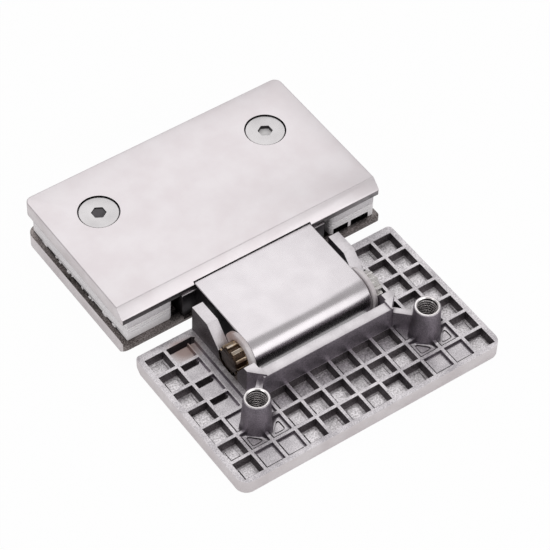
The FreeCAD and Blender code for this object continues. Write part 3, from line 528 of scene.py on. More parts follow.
# %% Sizes of the waffle, in mm
LEAF_LENGTH = 90.0
LEAF_WIDTH = 54.0
PLATE = 5.0
FLOOR = 2.4
RIB = 1.2
MOUTH_ROUND = 0.12
COLUMNS = 12
ROWS = 7
SIDE_RIM = 1.8
HINGE_RIM = 2.6
FAR_RIM = 1.7
HINGE_CORNER = 1.4
FAR_CORNER = 3.5
BEVEL_RUN = 3.1
BEVEL_DROP = 2.8
DRAFT = 0.45
EDGE_ROUND = 0.35


def cell_x(column):
    """Where a column of cells starts and ends."""
    wide = (LEAF_LENGTH - 2 * SIDE_RIM + RIB) / COLUMNS - RIB
    start = -LEAF_LENGTH / 2 + SIDE_RIM + column * (wide + RIB)
    return start - MOUTH_ROUND, start + wide + MOUTH_ROUND


def cell_y(row, setback=0.0):
    """Where a row of cells starts and ends, counted from the hinge side."""
    deep = (LEAF_WIDTH - setback - HINGE_RIM - FAR_RIM + RIB) / ROWS - RIB
    start = setback + HINGE_RIM + row * (deep + RIB)
    return start - MOUTH_ROUND, start + deep + MOUTH_ROUND


def cell_at(m, setback=0.0):
    """Column and row of the cell that a point lies in, or None on a rib or rim."""
    for column in range(COLUMNS):
        if cell_x(column)[0] < m.x < cell_x(column)[1]:
            for row in range(ROWS):
                if cell_y(row, setback)[0] < m.y < cell_y(row, setback)[1]:
                    return column, row
    return None


def on_top(middle, face):
    """Whether a face still lies in the plate's flat inner side."""
    return abs(middle.z - PLATE) < 0.01 and face.normal.z > 0.9


def cut_top(obj, axis, at, within=None):
    """Bisect the inner face, or a part of it, along a line of constant X or Y."""
    pick(obj, lambda m, f: on_top(m, f) and (within is None or within(m)))
    point = (at * MM, 0, 0) if axis == "X" else (0, at * MM, 0)
    normal = (1, 0, 0) if axis == "X" else (0, 1, 0)
    bpy.ops.mesh.bisect(plane_co=point, plane_no=normal)


def ruled_plate(name, setback, hinge_corner, far_corner):
    """The plate with its corners, bevel and rounded outer edge, ruled along every rib."""
    obj = box(name, (-LEAF_LENGTH / 2, setback, 0), (LEAF_LENGTH / 2, LEAF_WIDTH, PLATE))
    shape(obj, "EDGE")
    for edge_y, radius in ((LEAF_WIDTH, far_corner), (setback, hinge_corner)):
        pick(obj, lambda m, e: abs(m.y - edge_y) < 0.01 and abs(m.z - PLATE / 2) < 0.01, "edges")
        bpy.ops.mesh.bevel(offset=radius * MM, segments=8, affect="EDGES")
    bpy.ops.mesh.select_all(action="SELECT")
    bpy.ops.mesh.bisect(plane_co=(0, (setback + BEVEL_RUN) * MM, 0),
                        plane_no=(0, -BEVEL_DROP, -BEVEL_RUN), clear_outer=True, use_fill=True)
    pick(obj, lambda m, e: m.z < 0.01 and m.y > setback + BEVEL_RUN + 0.1, "edges")
    bpy.ops.mesh.bevel(offset=EDGE_ROUND * MM, segments=3, affect="EDGES")
    bpy.ops.mesh.select_mode(type="FACE")
    for column in range(COLUMNS):
        for at in cell_x(column):
            cut_top(obj, "X", at)
    for row in range(ROWS):
        for at in cell_y(row, setback):
            cut_top(obj, "Y", at)
    return obj


print("cell", [round(b - a, 2) for a, b in (cell_x(0), cell_y(0))], "mm")

# %% [markdown]
# The floors of the real cells are rough, each with a square that stands up or lies a little low.
# One cut tool could be copied to every cell, but insets are quicker and keep the mesh closed. The
# cells are sorted into nine groups with a seeded draw, and each group gets its own inset.
# Round the bosses the cells are shallow. A thin moat runs round their floors, and two of them
# beyond each boss hold a rounded triangle: a prism is cut out, and a smaller one put back.

# %% Sinking the cells
SHALLOW_DROP = 0.8
RECESS = 4.5
RECESS_AT = 1.25
RECESS_ROUND = 0.8
GROOVE = 0.35
SHRINK = 3.41  # how much shorter a right-angled triangle's legs get for each mm of inset
rng = random.Random(7)


def sink_cells(obj, spots, setback=0.0):
    """Full-depth cells, each with a raised or a sunk square in its floor."""
    groups = {(step, border): set() for step in (0.35, 0.2, -0.25) for border in (0.5, 0.75, 1.1)}
    choices = sorted(groups)
    for spot in sorted(spots):
        groups[choices[rng.choice((0, 1, 3, 4, 5, 6, 7, 8, 6, 7, 4))]].add(spot)
    for (step, border), members in groups.items():
        pick(obj, lambda m, f: on_top(m, f) and cell_at(m, setback) in members)
        bpy.ops.mesh.inset(thickness=DRAFT * MM, depth=(FLOOR - PLATE) * MM, use_individual=True)
        bpy.ops.mesh.inset(thickness=border * MM, depth=0, use_individual=True)
        bpy.ops.mesh.inset(thickness=0.2 * MM, depth=step * MM, use_individual=True)


def sink_shallow(obj, spots):
    """The floors round a boss lie just under the ribs, each with a thin moat round its edge."""
    pick(obj, lambda m, f: on_top(m, f) and cell_at(m) in spots)
    bpy.ops.mesh.inset(thickness=0.15 * MM, depth=-(SHALLOW_DROP + 0.4) * MM, use_individual=True)
    bpy.ops.mesh.inset(thickness=0.35 * MM, depth=0, use_individual=True)
    bpy.ops.mesh.inset(thickness=0.2 * MM, depth=0.4 * MM, use_individual=True)


def corner_prism(column, end, inside, low, high):
    """A three-sided block in a cell's corner, a little inside the recess's own outline."""
    way = 1 - 2 * end
    size = RECESS - SHRINK * inside
    corner_x = cell_x(column)[end] + way * (RECESS_AT + inside)
    corner_y = cell_y(5)[1] - (RECESS_AT + inside)
    low_x, high_x = sorted((corner_x, corner_x + way * size))
    obj = box("prism", (low_x, corner_y - size, low), (high_x, corner_y, high))
    shape(obj)
    bpy.ops.mesh.select_all(action="SELECT")
    bpy.ops.mesh.bisect(plane_co=((corner_x + way * size) * MM, corner_y * MM, 0),
                        plane_no=(way, -1, 0), clear_outer=True, use_fill=True)
    done(obj)
    shape(obj, "EDGE")
    radius = RECESS_ROUND - inside
    for square, offset in ((False, radius / math.tan(math.radians(22.5))), (True, radius)):
        pick(obj, lambda m, e: abs(m.z - (low + high) / 2) < 0.1 and (
            math.hypot(m.x - corner_x, m.y - corner_y) < 0.01) == square, "edges")
        bpy.ops.mesh.bevel(offset=offset * MM, segments=5, affect="EDGES")
    return done(obj)


def cut_recesses(obj):
    """A rounded triangle in the corner of each cell beyond a boss: a thin groove round a pad."""
    for column, end in ((1, 0), (2, 1), (9, 0), (10, 1)):
        combine(obj, corner_prism(column, end, 0.0, PLATE - SHALLOW_DROP - 0.6, PLATE + 1),
                "DIFFERENCE")
        combine(obj, corner_prism(column, end, GROOVE, 3.0, PLATE - SHALLOW_DROP - 0.12), "UNION")


EVERY_CELL = {(c, r) for c in range(COLUMNS) for r in range(ROWS)}
SHALLOW = {(c, r) for c in (1, 2, 9, 10) for r in (4, 5, 6)}
NEAR_BLOCK = {(c, r) for c in range(3, 9) for r in range(4)}
print("cells:", len(EVERY_CELL), "shallow:", len(SHALLOW))

# %% [markdown]
# The open leaf is the piece that the photograph shows best. Beside one ear its waffle gives way
# to a raised ledge, with short ribs and a deep slot in front of each.

# %% The open leaf's plate
EAR_OUT = 25.6
LEDGE_IN = EAR_OUT + 1.6
LEDGE_OUT = cell_x(10)[1]
SLOT_END = LEDGE_OUT - 5.4
STUB_END = SLOT_END - RIB
SLOT_WIDTH = 1.5
LEDGE_DROP = PLATE - 3.8


def in_ledge(m):
    """Whether a point lies over the raised ledge."""
    return LEDGE_IN < m.x < LEDGE_OUT and HINGE_RIM < m.y < cell_y(3)[1]


def ledge_floor(m, f):
    """Whether a face becomes the ledge's lowered floor: all but the short ribs."""
    if not (on_top(m, f) and in_ledge(m)):
        return False
    return cell_at(m) is not None or m.x < STUB_END


def slot_tool(row):
    """A slot with a pointed end; the one at the rim is longer."""
    start = cell_y(row)[0]
    tip = (SLOT_END if row else LEDGE_IN) - 0.6
    tool = box("slot", (tip, start, FLOOR - 0.6), (LEDGE_OUT, start + SLOT_WIDTH, PLATE + 1))
    shape(tool, "EDGE")
    pick(tool, lambda m, e: abs(m.x - tip) < 0.01 and 3 < m.z < PLATE, "edges")
    bpy.ops.mesh.bevel(offset=0.7 * MM, segments=1, affect="EDGES")
    return done(tool)


leaf = ruled_plate("open_leaf_waffle", 0.0, HINGE_CORNER, FAR_CORNER)
cut_top(leaf, "X", LEDGE_IN, lambda m: 22 < m.x < 29.8 and HINGE_RIM < m.y < cell_y(3)[1])
cut_top(leaf, "X", STUB_END, in_ledge)
ledge_cells = {(c, r) for c in (9, 10) for r in range(4)}
sink_cells(leaf, EVERY_CELL - SHALLOW - NEAR_BLOCK - ledge_cells)
sink_shallow(leaf, SHALLOW)
pick(leaf, ledge_floor)
bpy.ops.mesh.inset(thickness=0.25 * MM, depth=-LEDGE_DROP * MM, use_individual=False)
done(leaf)
for row in range(4):
    combine(leaf, slot_tool(row), "DIFFERENCE")
cut_recesses(leaf)
soften(leaf, 0.13)
print("waffle has", len(leaf.data.polygons), "faces")

# %% [markdown]
# What stands on the plate is made apart and joined to it: two drafted bosses, the front wall,
# the webs, and two ears. An ear starts as a box that is cut across wherever its outline bends,
# and the cut lines are then pushed down to the outline's height. A web is a box, too: three
# slices take off both of its long sides and its tip, so that it tapers into the boss.

# %% Ears
AXIS_Y = 18.3
AXIS_Z = 9.0
BOSS_X = 29.4
BOSS_Y = 37.8
OPEN_BOSS_TOP = 15.7
BOSS_R = 4.7
BOSS_FOOT = 0.8
BOSS_TAPER = math.tan(math.radians(3.2))
TAPPED_R = 2.95
NOTCH_HALF = 22.0
FRONT_Y = 28.2
WALL_END = FRONT_Y + 3.3
WALL_TOP = 13.1
EAR_END = WALL_END + 0.04
EAR_TOP = 14.6
EAR_CORNER = 4.0
EAR_OUTLINE = [(0.2, EAR_TOP), (7.8, EAR_TOP), (11.3, 11.2), (13.65, 9.0), (22.95, 9.0),
               (25.9, 13.8), (EAR_END, 13.8)]
WEB_SLICES = [((NOTCH_HALF + 0.6, WALL_END), (25.64, 35.45), 1),
              ((NOTCH_HALF + 2.4, WALL_END - 1.2), (BOSS_X, 33.57), -1),
              ((27.3, 35.38), (28.06, 34.72), 1)]


def ear(side):
    """A bent plate beside the notch, with its foot bevelled like the plate's hinge side."""
    inner, outer = sorted((side * (NOTCH_HALF - 0.6), side * EAR_OUT))
    obj = box("ear", (inner, 0.2, 0.9), (outer, EAR_END, EAR_TOP))
    shape(obj)
    for y, z in EAR_OUTLINE[1:-1]:
        bpy.ops.mesh.select_all(action="SELECT")
        bpy.ops.mesh.bisect(plane_co=(0, y * MM, 0), plane_no=(0, 1, 0))
    bpy.ops.mesh.select_mode(type="VERT")
    for y, z in EAR_OUTLINE:
        pick(obj, lambda m, v: abs(m.y - y) < 0.01 and m.z > EAR_TOP - 0.1, "verts")
        bpy.ops.transform.translate(value=(0, 0, (z - EAR_TOP) * MM))
    bpy.ops.mesh.select_all(action="SELECT")
    bpy.ops.mesh.bisect(plane_co=(0, 3.3 * MM, 0), plane_no=(0, -BEVEL_DROP, -BEVEL_RUN),
                        clear_outer=True, use_fill=True)
    bpy.ops.mesh.select_all(action="SELECT")
    bpy.ops.mesh.bisect(plane_co=(side * EAR_OUT * MM, (WALL_END - EAR_CORNER) * MM, 0),
                        plane_no=(side, 1, 0), clear_outer=True, use_fill=True)
    done(obj)
    return soften(obj, 0.25)


# %% Webs and bosses
def web(side):
    """A wedge from the wall's corner into the boss."""
    near, far = sorted((side * (NOTCH_HALF + 0.3), side * (BOSS_X + 0.1)))
    obj = box("web", (near, WALL_END - 2.6, 1.0), (far, BOSS_Y + 0.1, 11.0))
    shape(obj)
    for start, end, way in WEB_SLICES:
        along = Vector((side * (end[0] - start[0]), end[1] - start[1], 0))
        across = Vector((-along.y, along.x, 0)) * side * way
        bpy.ops.mesh.select_all(action="SELECT")
        bpy.ops.mesh.bisect(plane_co=(side * start[0] * MM, start[1] * MM, 0), plane_no=across,
                            clear_outer=True, use_fill=True)
    done(obj)
    return soften(obj, 0.2)


def add_bosses(obj, top):
    """Two tapered posts with round shoulders."""
    for side in (-1, 1):
        boss = round_bar("boss", "Z", BOSS_FOOT, top, BOSS_R, (side * BOSS_X, BOSS_Y),
                         end_radius=BOSS_R - (top - BOSS_FOOT) * BOSS_TAPER)
        combine(obj, soften(boss, 0.35, segments=3), "UNION")


def drill_bosses(obj, top):
    """A bore in each boss, with a chamfered mouth."""
    for side in (-1, 1):
        bore = round_bar("bore", "Z", 2.0, top + 1, TAPPED_R, (side * BOSS_X, BOSS_Y))
        combine(obj, bore, "DIFFERENCE")
        mouth = round_bar("mouth", "Z", top - 0.3, top + 0.3, TAPPED_R - 0.05,
                          (side * BOSS_X, BOSS_Y), end_radius=TAPPED_R + 0.6)
        combine(obj, mouth, "DIFFERENCE")


# %% Joining them to the leaf
front_wall = soften(box("front_wall", (-NOTCH_HALF - 0.5, FRONT_Y, 0.8),
                        (NOTCH_HALF + 0.5, WALL_END, WALL_TOP)), 0.3)
combine(leaf, front_wall, "UNION")
for side in (-1, 1):
    combine(leaf, ear(side), "UNION")
add_bosses(leaf, OPEN_BOSS_TOP)
combine(leaf, box("notch", (-NOTCH_HALF, -2, -5), (NOTCH_HALF, FRONT_Y, 20)), "DIFFERENCE")
seat = round_bar("seat", "X", -EAR_OUT - 0.1, EAR_OUT + 0.1, 4.65, (AXIS_Y, AXIS_Z), sides=64)
combine(leaf, seat, "DIFFERENCE")
drill_bosses(leaf, OPEN_BOSS_TOP)
print("casting has", len(leaf.data.polygons), "faces")

# %% [markdown]
# A thread is a small triangle turned round and up by the Screw modifier. Its outer half lies in
# the boss's wall, so only the crests show. The threads and the webs reach into solid metal, so
# they are simply joined to the casting.

# %% Threads and webs
def thread(x, y, top, turns, radius):
    """A thread's crests, with a pitch of 1 mm."""
    bpy.ops.mesh.primitive_circle_add(vertices=3, radius=0.22 * MM, location=(radius * MM, 0, 0),
                                      rotation=(math.pi / 2, 0, 0))
    obj = bpy.context.object
    bpy.ops.object.transform_apply(location=True, rotation=True, scale=True)
    screw = obj.modifiers.new("turns", "SCREW")
    screw.screw_offset = 1.0 * MM
    screw.iterations = turns
    screw.steps = 40
    screw.render_steps = 40
    bpy.ops.object.modifier_apply(modifier="turns")
    shape(obj)
    return place_as(done(obj), Matrix.Translation((x * MM, y * MM, (top - turns - 0.9) * MM)))


threads = [thread(side * BOSS_X, BOSS_Y, OPEN_BOSS_TOP, 9, TAPPED_R) for side in (-1, 1)]
webs = [web(side) for side in (-1, 1)]
only(leaf)
for piece in threads + webs:
    piece.select_set(True)
bpy.ops.object.join()
print("joined:", len(threads), "threads and", len(webs), "webs")

# %% [markdown]
# The leaf is turned to its place, and its faces are painted by where they lie: the outer skin is
# plated, the cells' walls and the left ear's outer face are painted dark as shade, their floors are
# speckled and painted lighter, and the tops are smooth and painted lighter, both as painted light.
# Grease darkens the left ear's seat. The wall's inner side is cut along a line first, because only
# the part above the block's nose gets light; below the line it is painted dark as shade. The bores
# are painted dark as shade, and the rings round the tapped holes and the threads' crests are
# bright.

# %% Finish of the open leaf
LEAF_GAP = 4.6
SHADE_LINE = 10.5


def outside(m, n, setback=0.0):
    """Whether a face lies on the plate's outer skin, in the plate's own frame."""
    far_x = abs(m.x) - (LEAF_LENGTH / 2 - FAR_CORNER)
    far_y = m.y - (LEAF_WIDTH - FAR_CORNER)
    on_corner = far_x > 0 and far_y > 0 and math.hypot(far_x, far_y) > FAR_CORNER - 0.2
    on_side = abs(m.x) > LEAF_LENGTH / 2 - 0.2 or m.y > LEAF_WIDTH - 0.2 or m.y < setback + 0.2
    on_bevel = m.y < setback + BEVEL_RUN + 0.1 and m.z < BEVEL_DROP + 0.1
    return m.z < PLATE - 0.05 and (on_corner or on_side or on_bevel or m.z < 0.3)


OPEN_PLACE = Matrix.Translation((0, -LEAF_GAP / 2 * MM, 0)) @ Matrix.Rotation(math.pi, 4, "Z")
shape(leaf)
pick(leaf, lambda m, f: f.normal.y < -0.9 and abs(m.y - FRONT_Y) < 0.05 and abs(m.x) < NOTCH_HALF)
bpy.ops.mesh.bisect(plane_co=(0, 0, SHADE_LINE * MM), plane_no=(0, 0, 1))
bpy.ops.object.mode_set(mode="OBJECT")
place_as(leaf, OPEN_PLACE)
finish_piece(leaf, "zinc_cast", "open_leaf", "open_leaf_casting")
# Painted shade on the cells' walls and on the left ear's outer face.
paint(leaf, "zinc_wall_shade", lambda m, n: abs(n.z) < 0.75 and FLOOR + 0.05 < m.z < PLATE - 1)
paint(leaf, "zinc_wall_shade", lambda m, n: n.x < -0.9 and abs(m.x + EAR_OUT) < 0.05 and m.z > FLOOR)
paint(leaf, "grease", lambda m, n: -EAR_OUT - 0.1 < m.x < -NOTCH_HALF - 0.1 and math.hypot(
    m.y + LEAF_GAP / 2 + AXIS_Y, m.z - AXIS_Z) < 4.75)
paint(leaf, "shadowed", lambda m, n: n.y > 0.5 and abs(m.x) < NOTCH_HALF and m.z < SHADE_LINE
      and abs(m.y + LEAF_GAP / 2 + FRONT_Y) < 0.1)
paint(leaf, "satin_edge",
      lambda m, n: outside(Vector((-m.x, -m.y - LEAF_GAP / 2, m.z)), n) and abs(m.x) > EAR_OUT)
paint(leaf, "satin_edge",
      lambda m, n: m.y < -LEAF_WIDTH - LEAF_GAP / 2 + 0.2 and m.z < PLATE - 0.05)
# The cells' floors are painted lighter: painted light.
paint(leaf, "zinc_floor_speckle_and_light", lambda m, n: n.z > 0.6 and m.z < FLOOR + 0.5)
# Painted highlight: the tops of the ears, webs and front wall are painted lighter.
paint(leaf, "zinc_top", lambda m, n: n.z > 0.6 and 8.5 < m.z < 15)


def off_boss(m):
    """How far a point is from the nearer open boss's axis."""
    return math.hypot(abs(m.x) - BOSS_X, m.y + LEAF_GAP / 2 + BOSS_Y)


paint(leaf, "shadowed", lambda m, n: off_boss(m) < TAPPED_R + 0.1 and m.z < OPEN_BOSS_TOP - 0.35)
paint(leaf, "machined", lambda m, n: off_boss(m) < TAPPED_R + 0.5 and m.z > OPEN_BOSS_TOP - 0.35
      or 6 < m.z < OPEN_BOSS_TOP and off_boss(m) < TAPPED_R - 0.04)

# %% [markdown]
# The clamp leaf's two plates come from the same steps. Both are filled in where the block sits
# and are cut for it. The back plate has lower bosses for the clamp screws, and four countersunk
# holes for the small screws that hold the block.

# %% Clamp leaf: back plate
STACK = 18.0
BLOCK_HALF = 20.3
FLANGE_HALF = 25.0
BLOCK_REAR = 15.1
SEAT_PLAY = 0.15
SMALL_SCREWS = [(x, 9.5) for x in (-21.9, -13.4, 13.4, 21.9)]


def block_seat(obj):
    """Fill the plate where the block sits and cut the seat for the block and its flange."""
    far = BLOCK_REAR + SEAT_PLAY
    fill = box("fill", (-FLANGE_HALF - 1.4, 4.1, 0.8), (FLANGE_HALF + 1.4, far + RIB, PLATE))
    combine(obj, fill, "UNION")
    for half, depth in ((BLOCK_HALF, 2.4), (FLANGE_HALF, 4.0)):
        cut = box("cut", (-half - SEAT_PLAY, -3, depth), (half + SEAT_PLAY, far, PLATE + 2))
        combine(obj, cut, "DIFFERENCE")


def countersink(obj, x, y, start, radius, hole):
    """A hole from the outer face, with a flat-sided mouth and a 45 degree cone."""
    combine(obj, round_bar("hole", "Z", -1, PLATE + 1, hole, (x, y)), "DIFFERENCE")
    combine(obj, round_bar("mouth", "Z", -1, start, radius, (x, y), sides=64), "DIFFERENCE")
    cone = round_bar("cone", "Z", start - 0.001, start + radius - hole, radius, (x, y),
                     end_radius=hole - 0.001, sides=64)
    combine(obj, cone, "DIFFERENCE")


back_plate = ruled_plate("clamp_back_waffle", 0.0, HINGE_CORNER, FAR_CORNER)
sink_cells(back_plate, EVERY_CELL - SHALLOW)
sink_shallow(back_plate, SHALLOW)
soften(done(back_plate), 0.13)
BACK_BOSS_TOP = STACK - PLATE - 0.6
add_bosses(back_plate, BACK_BOSS_TOP)
block_seat(back_plate)
drill_bosses(back_plate, BACK_BOSS_TOP)
for x, y in SMALL_SCREWS:
    countersink(back_plate, x, y, 0.1, 3.75, 2.0)
place_as(back_plate, Matrix.Translation((0, LEAF_GAP / 2 * MM, 0)))
# The back plate is painted dark: partly its cast colour, partly painted shade.
finish_piece(back_plate, "zinc_rim", "clamp_leaf", "clamp_back_casting")
paint(back_plate, "satin_edge", lambda m, n: outside(Vector((m.x, m.y - LEAF_GAP / 2, m.z)), n)
      and m.y > LEAF_GAP / 2 + BEVEL_RUN)

# %% [markdown]
# The cover is the same waffle, face down, and starts a little behind the back plate. Its holes
# are countersunk wider than the screws' heads, so a dark ring shows round each head, as in the
# photograph. Its underside and the holes' walls get hardly any light, and are painted dark as
# shade. Its hinge-side lip under the bevel is painted dark as shade too, lightened towards its
# right end by a painted reflection.

# %% Clamp leaf: cover
COVER_SETBACK = 1.5
HEAD_R = 5.95
HEAD_RING = 0.35


def off_screw(m):
    """How far a point is from the nearer clamp screw's axis."""
    return math.hypot(abs(m.x) - BOSS_X, m.y - BOSS_Y - LEAF_GAP / 2)


cover = ruled_plate("clamp_cover_plate", COVER_SETBACK, 0.4, 2.4)
sink_cells(cover, EVERY_CELL, COVER_SETBACK)
soften(done(cover), 0.13)
for side in (-1, 1):
    hold = round_bar("hold", "Z", 0.8, PLATE, HEAD_R + HEAD_RING + RIB, (side * BOSS_X, BOSS_Y))
    combine(cover, hold, "UNION")
block_seat(cover)
for side in (-1, 1):
    countersink(cover, side * BOSS_X, BOSS_Y, 0.65, HEAD_R + HEAD_RING, 3.2)
face_down = Matrix.Rotation(math.pi, 4, "Y")
place_as(cover, Matrix.Translation((0, LEAF_GAP / 2 * MM, STACK * MM)) @ face_down)
finish_piece(cover, "satin_plate", "clamp_leaf", "clamp_cover")
paint(cover, "satin_edge", lambda m, n: abs(n.z) < 0.5 and abs(m.x) > LEAF_LENGTH / 2 - 0.5)
# Painted shade on the lip under the cover's bevel.
paint(cover, "lip_shade", lambda m, n: n.y < -0.9 and m.z < STACK - BEVEL_DROP + 0.1)
paint(cover, "shadowed", lambda m, n: m.z < STACK - PLATE + 0.1 or (
    off_screw(m) < HEAD_R + HEAD_RING + 0.05 and m.z < STACK - 0.2))

# %% [markdown]
# The hinge block is a bar with a round nose, and a flange that the two plates grip. A cylinder
# with many sides is halved along its length, and the flat half is extruded back to the rear. The
# fine sides give the nose the long clean highlight of the real one.

# %% Hinge block
SPINDLE_Y = -LEAF_GAP / 2 - AXIS_Y
REAR_Y = LEAF_GAP / 2 + BLOCK_REAR
NOSE_R = 6.2
BORE_R = 5.1
FLANGE_TOP = 13.1
block = round_bar("hinge_block_body", "X", -BLOCK_HALF, BLOCK_HALF, NOSE_R,
                  (SPINDLE_Y, AXIS_Z), sides=160)
shape(block)
bpy.ops.mesh.select_all(action="SELECT")
bpy.ops.mesh.bisect(plane_co=(0, (SPINDLE_Y + 0.02) * MM, 0), plane_no=(0, 1, 0), clear_outer=True,
                    use_fill=True)
pick(block, lambda m, f: f.normal.y > 0.9 and m.y > SPINDLE_Y)
bpy.ops.mesh.extrude_region_move(
    TRANSFORM_OT_translate={"value": (0, (REAR_Y - SPINDLE_Y) * MM, 0)})
done(block)
soften(block, 0.3, segments=3)
flange = box("flange", (-FLANGE_HALF, LEAF_GAP / 2 + 1, 4), (FLANGE_HALF, REAR_Y, FLANGE_TOP))
combine(block, soften(flange, 0.25), "UNION")
bore = round_bar("bore", "X", -30, 30, BORE_R, (SPINDLE_Y, AXIS_Z), sides=64)
combine(block, bore, "DIFFERENCE")
finish_piece(block, "satin_block", "clamp_leaf", "hinge_block")
paint(block, "shadowed", lambda m, n: abs(m.x) > BLOCK_HALF - 0.02 and abs(n.x) > 0.9
      or n.y < -0.9 and m.y > 0)

# %% [markdown]
# The spindle is a round bar whose ends are splined. One groove is made as a tapered block and
# copied round the bar, and all the copies are taken out together. The pale washers beside the
# block are flat rings with soft edges.

# %% Spindle and washers
SPINDLE_R = 4.55
SPINDLE_END = 25.4
SPLINE_START = 21.8
SPLINE_DEPTH = 0.9
TEETH = 10


def ring_of(tool, count):
    """Copies of a groove turned about the spindle, joined into one tool."""
    copies = [tool]
    for k in range(1, count):
        copy = tool.copy()
        copy.data = tool.data.copy()
        scene.collection.objects.link(copy)
        middle = Vector((0, SPINDLE_Y * MM, AXIS_Z * MM))
        spin = Matrix.Rotation(2 * math.pi * k / count, 4, "X")
        place_as(copy, Matrix.Translation(middle) @ spin @ Matrix.Translation(-middle))
        copies.append(copy)
    only(tool)
    for copy in copies:
        copy.select_set(True)
    bpy.ops.object.join()
    return tool


def groove(start, end):
    """A block that is wider at the rim than at the groove's floor."""
    floor_z = AXIS_Z + SPINDLE_R - SPLINE_DEPTH
    obj = box("groove", (start, SPINDLE_Y - 0.68, floor_z), (end, SPINDLE_Y + 0.68, floor_z + 2))
    shape(obj)
    pick(obj, lambda m, f: f.normal.z > 0.9)
    bpy.ops.transform.resize(value=(1, 1.6, 1))
    return done(obj)


spindle = round_bar("spindle_bar", "X", -SPINDLE_END, SPINDLE_END, SPINDLE_R,
                    (SPINDLE_Y, AXIS_Z), sides=80)
soften(spindle, 0.3)
for start, end in ((-SPINDLE_END - 1, -SPLINE_START), (SPLINE_START, SPINDLE_END + 1)):
    combine(spindle, ring_of(groove(start, end), TEETH), "DIFFERENCE")
soften(spindle, 0.12)
finish_piece(spindle, "spindle_steel", "open_leaf", "spindle")
paint(spindle, "grease", lambda m, n: m.x < -SPLINE_START and (n.x < -0.5 or math.hypot(
    m.y - SPINDLE_Y, m.z - AXIS_Z) < SPINDLE_R - SPLINE_DEPTH / 2))

WASHER_START = BLOCK_HALF + 0.2
WASHER_WIDE = 1.3
WASHER_R = 7.1
WASHER_BORE = 4.6
for side, name in ((-1, "washer_left"), (1, "washer_right")):
    start, end = sorted((side * WASHER_START, side * (WASHER_START + WASHER_WIDE)))
    washer = round_bar(name + "_ring", "X", start, end, WASHER_R, (SPINDLE_Y, AXIS_Z), sides=96)
    hole = round_bar("hole", "X", start - 1, end + 1, WASHER_BORE, (SPINDLE_Y, AXIS_Z), sides=64)
    combine(washer, hole, "DIFFERENCE")
    soften(washer, 0.3, segments=3)
    finish_piece(washer, "washer_plastic", "open_leaf", name)

# %% [markdown]
# A countersunk screw is one cylinder for the head's rim. Its lower face is extruded and scaled
# to the cone, then extruded again for the shank. The socket is a hexagonal cylinder taken out
# of the top. Its walls are painted dark as shade, and its floor is painted pale, a painted
# highlight.

# %% Screws
def countersunk_screw(name, x, y, top, down, head_r, land, shank_r, tip, key, key_depth):
    """A screw whose head top lies at a level and whose shank runs down (-1) or up (+1)."""
    low, high = sorted((top, top + down * land))
    obj = round_bar(name, "Z", low, high, head_r, (x, y), sides=72)
    shape(obj)
    pick(obj, lambda m, f: f.normal.z * down > 0.9)
    bpy.ops.mesh.extrude_region_move(
        TRANSFORM_OT_translate={"value": (0, 0, down * (head_r - shank_r) * MM)})
    ratio = shank_r / head_r
    bpy.ops.transform.resize(value=(ratio, ratio, 1))
    cone_end = top + down * (land + head_r - shank_r)
    bpy.ops.mesh.extrude_region_move(
        TRANSFORM_OT_translate={"value": (0, 0, (tip - cone_end) * MM)})
    done(obj)
    soften(obj, 0.15, segments=3)
    flats = key / 2 / math.cos(math.pi / 6)
    low, high = sorted((top - down, top + down * key_depth))
    socket = round_bar("socket", "Z", low, high, flats, (x, y), sides=6)
    combine(obj, socket, "DIFFERENCE")
    return obj


def join_all(name, parts):
    """Several meshes as one piece."""
    only(parts[0])
    for part in parts:
        part.select_set(True)
    bpy.ops.object.join()
    parts[0].name = name
    return parts[0]


HEAD_TOP = STACK - 0.35
KEY_DEPTH = 1.3
clamp = [countersunk_screw("clamp", side * BOSS_X, LEAF_GAP / 2 + BOSS_Y, HEAD_TOP, -1,
                           head_r=HEAD_R, land=0.3, shank_r=2.9, tip=3.6, key=4.0,
                           key_depth=KEY_DEPTH) for side in (-1, 1)]
clamp = join_all("clamp_screw_pair", clamp)
finish_piece(clamp, "screw_steel", "clamp_leaf", "clamp_screws")
paint(clamp, "shadowed",
      lambda m, n: STACK - 3.2 < m.z < STACK - 0.5 and off_screw(m) < 2.5 and abs(n.z) < 0.5)
# Painted highlight: the socket floors are painted pale.
paint(clamp, "socket_floor_highlight", lambda m, n: n.z > 0.5 and abs(m.z - HEAD_TOP + KEY_DEPTH) < 0.15)
small = [countersunk_screw("small", x, LEAF_GAP / 2 + y, 0.05, 1, head_r=3.7, land=0.05,
                           shank_r=1.95, tip=8.0, key=2.5, key_depth=1.4)
         for x, y in SMALL_SCREWS]
small = join_all("block_screw_set", small)
finish_piece(small, "screw_steel", "clamp_leaf", "block_screws")

# %% [markdown]
# The gaskets are soft fibre sheets cut to a U, two thick and two thin. A cloth simulation isn't
# needed, because they are clamped flat: a box with round edges, 0.05 mm short at both faces,
# leaves the thin line between the layers. The thick front one is cut back along its lower edge,
# with the cut's wall painted dark as shade, and its hinge-side face is painted grey as shade under
# the cover's edge. The thick back one has two channels at its right front, whose walls are painted
# black as shade, and ragged burrs along its left side, which are small boxes of seeded size joined
# to it.

# %% Gaskets
GASKET_INSET = 1.7
GASKET_HALF = LEAF_LENGTH / 2 - GASKET_INSET
GASKET_NEAR = LEAF_GAP / 2 + GASKET_INSET
GASKET_FAR = LEAF_GAP / 2 + LEAF_WIDTH - GASKET_INSET
MOUTH_HALF = 27.8
MOUTH_DEEP = 16.4
GASKET_HOLE_R = 5.2
LINE = 0.4
CHANNELS = ((28.9, 34.2), (35.2, 41.5))
CHANNEL_DEEP = 3.0
CHANNEL_ROOF = 0.6
BURRS = 14
LAYERS = [("gasket_back_thick", 5.0, 8.0), ("gasket_back_thin", 8.0, 9.0),
          ("gasket_front_thin", 9.0, 10.0), ("gasket_front_thick", 10.0, 13.0)]


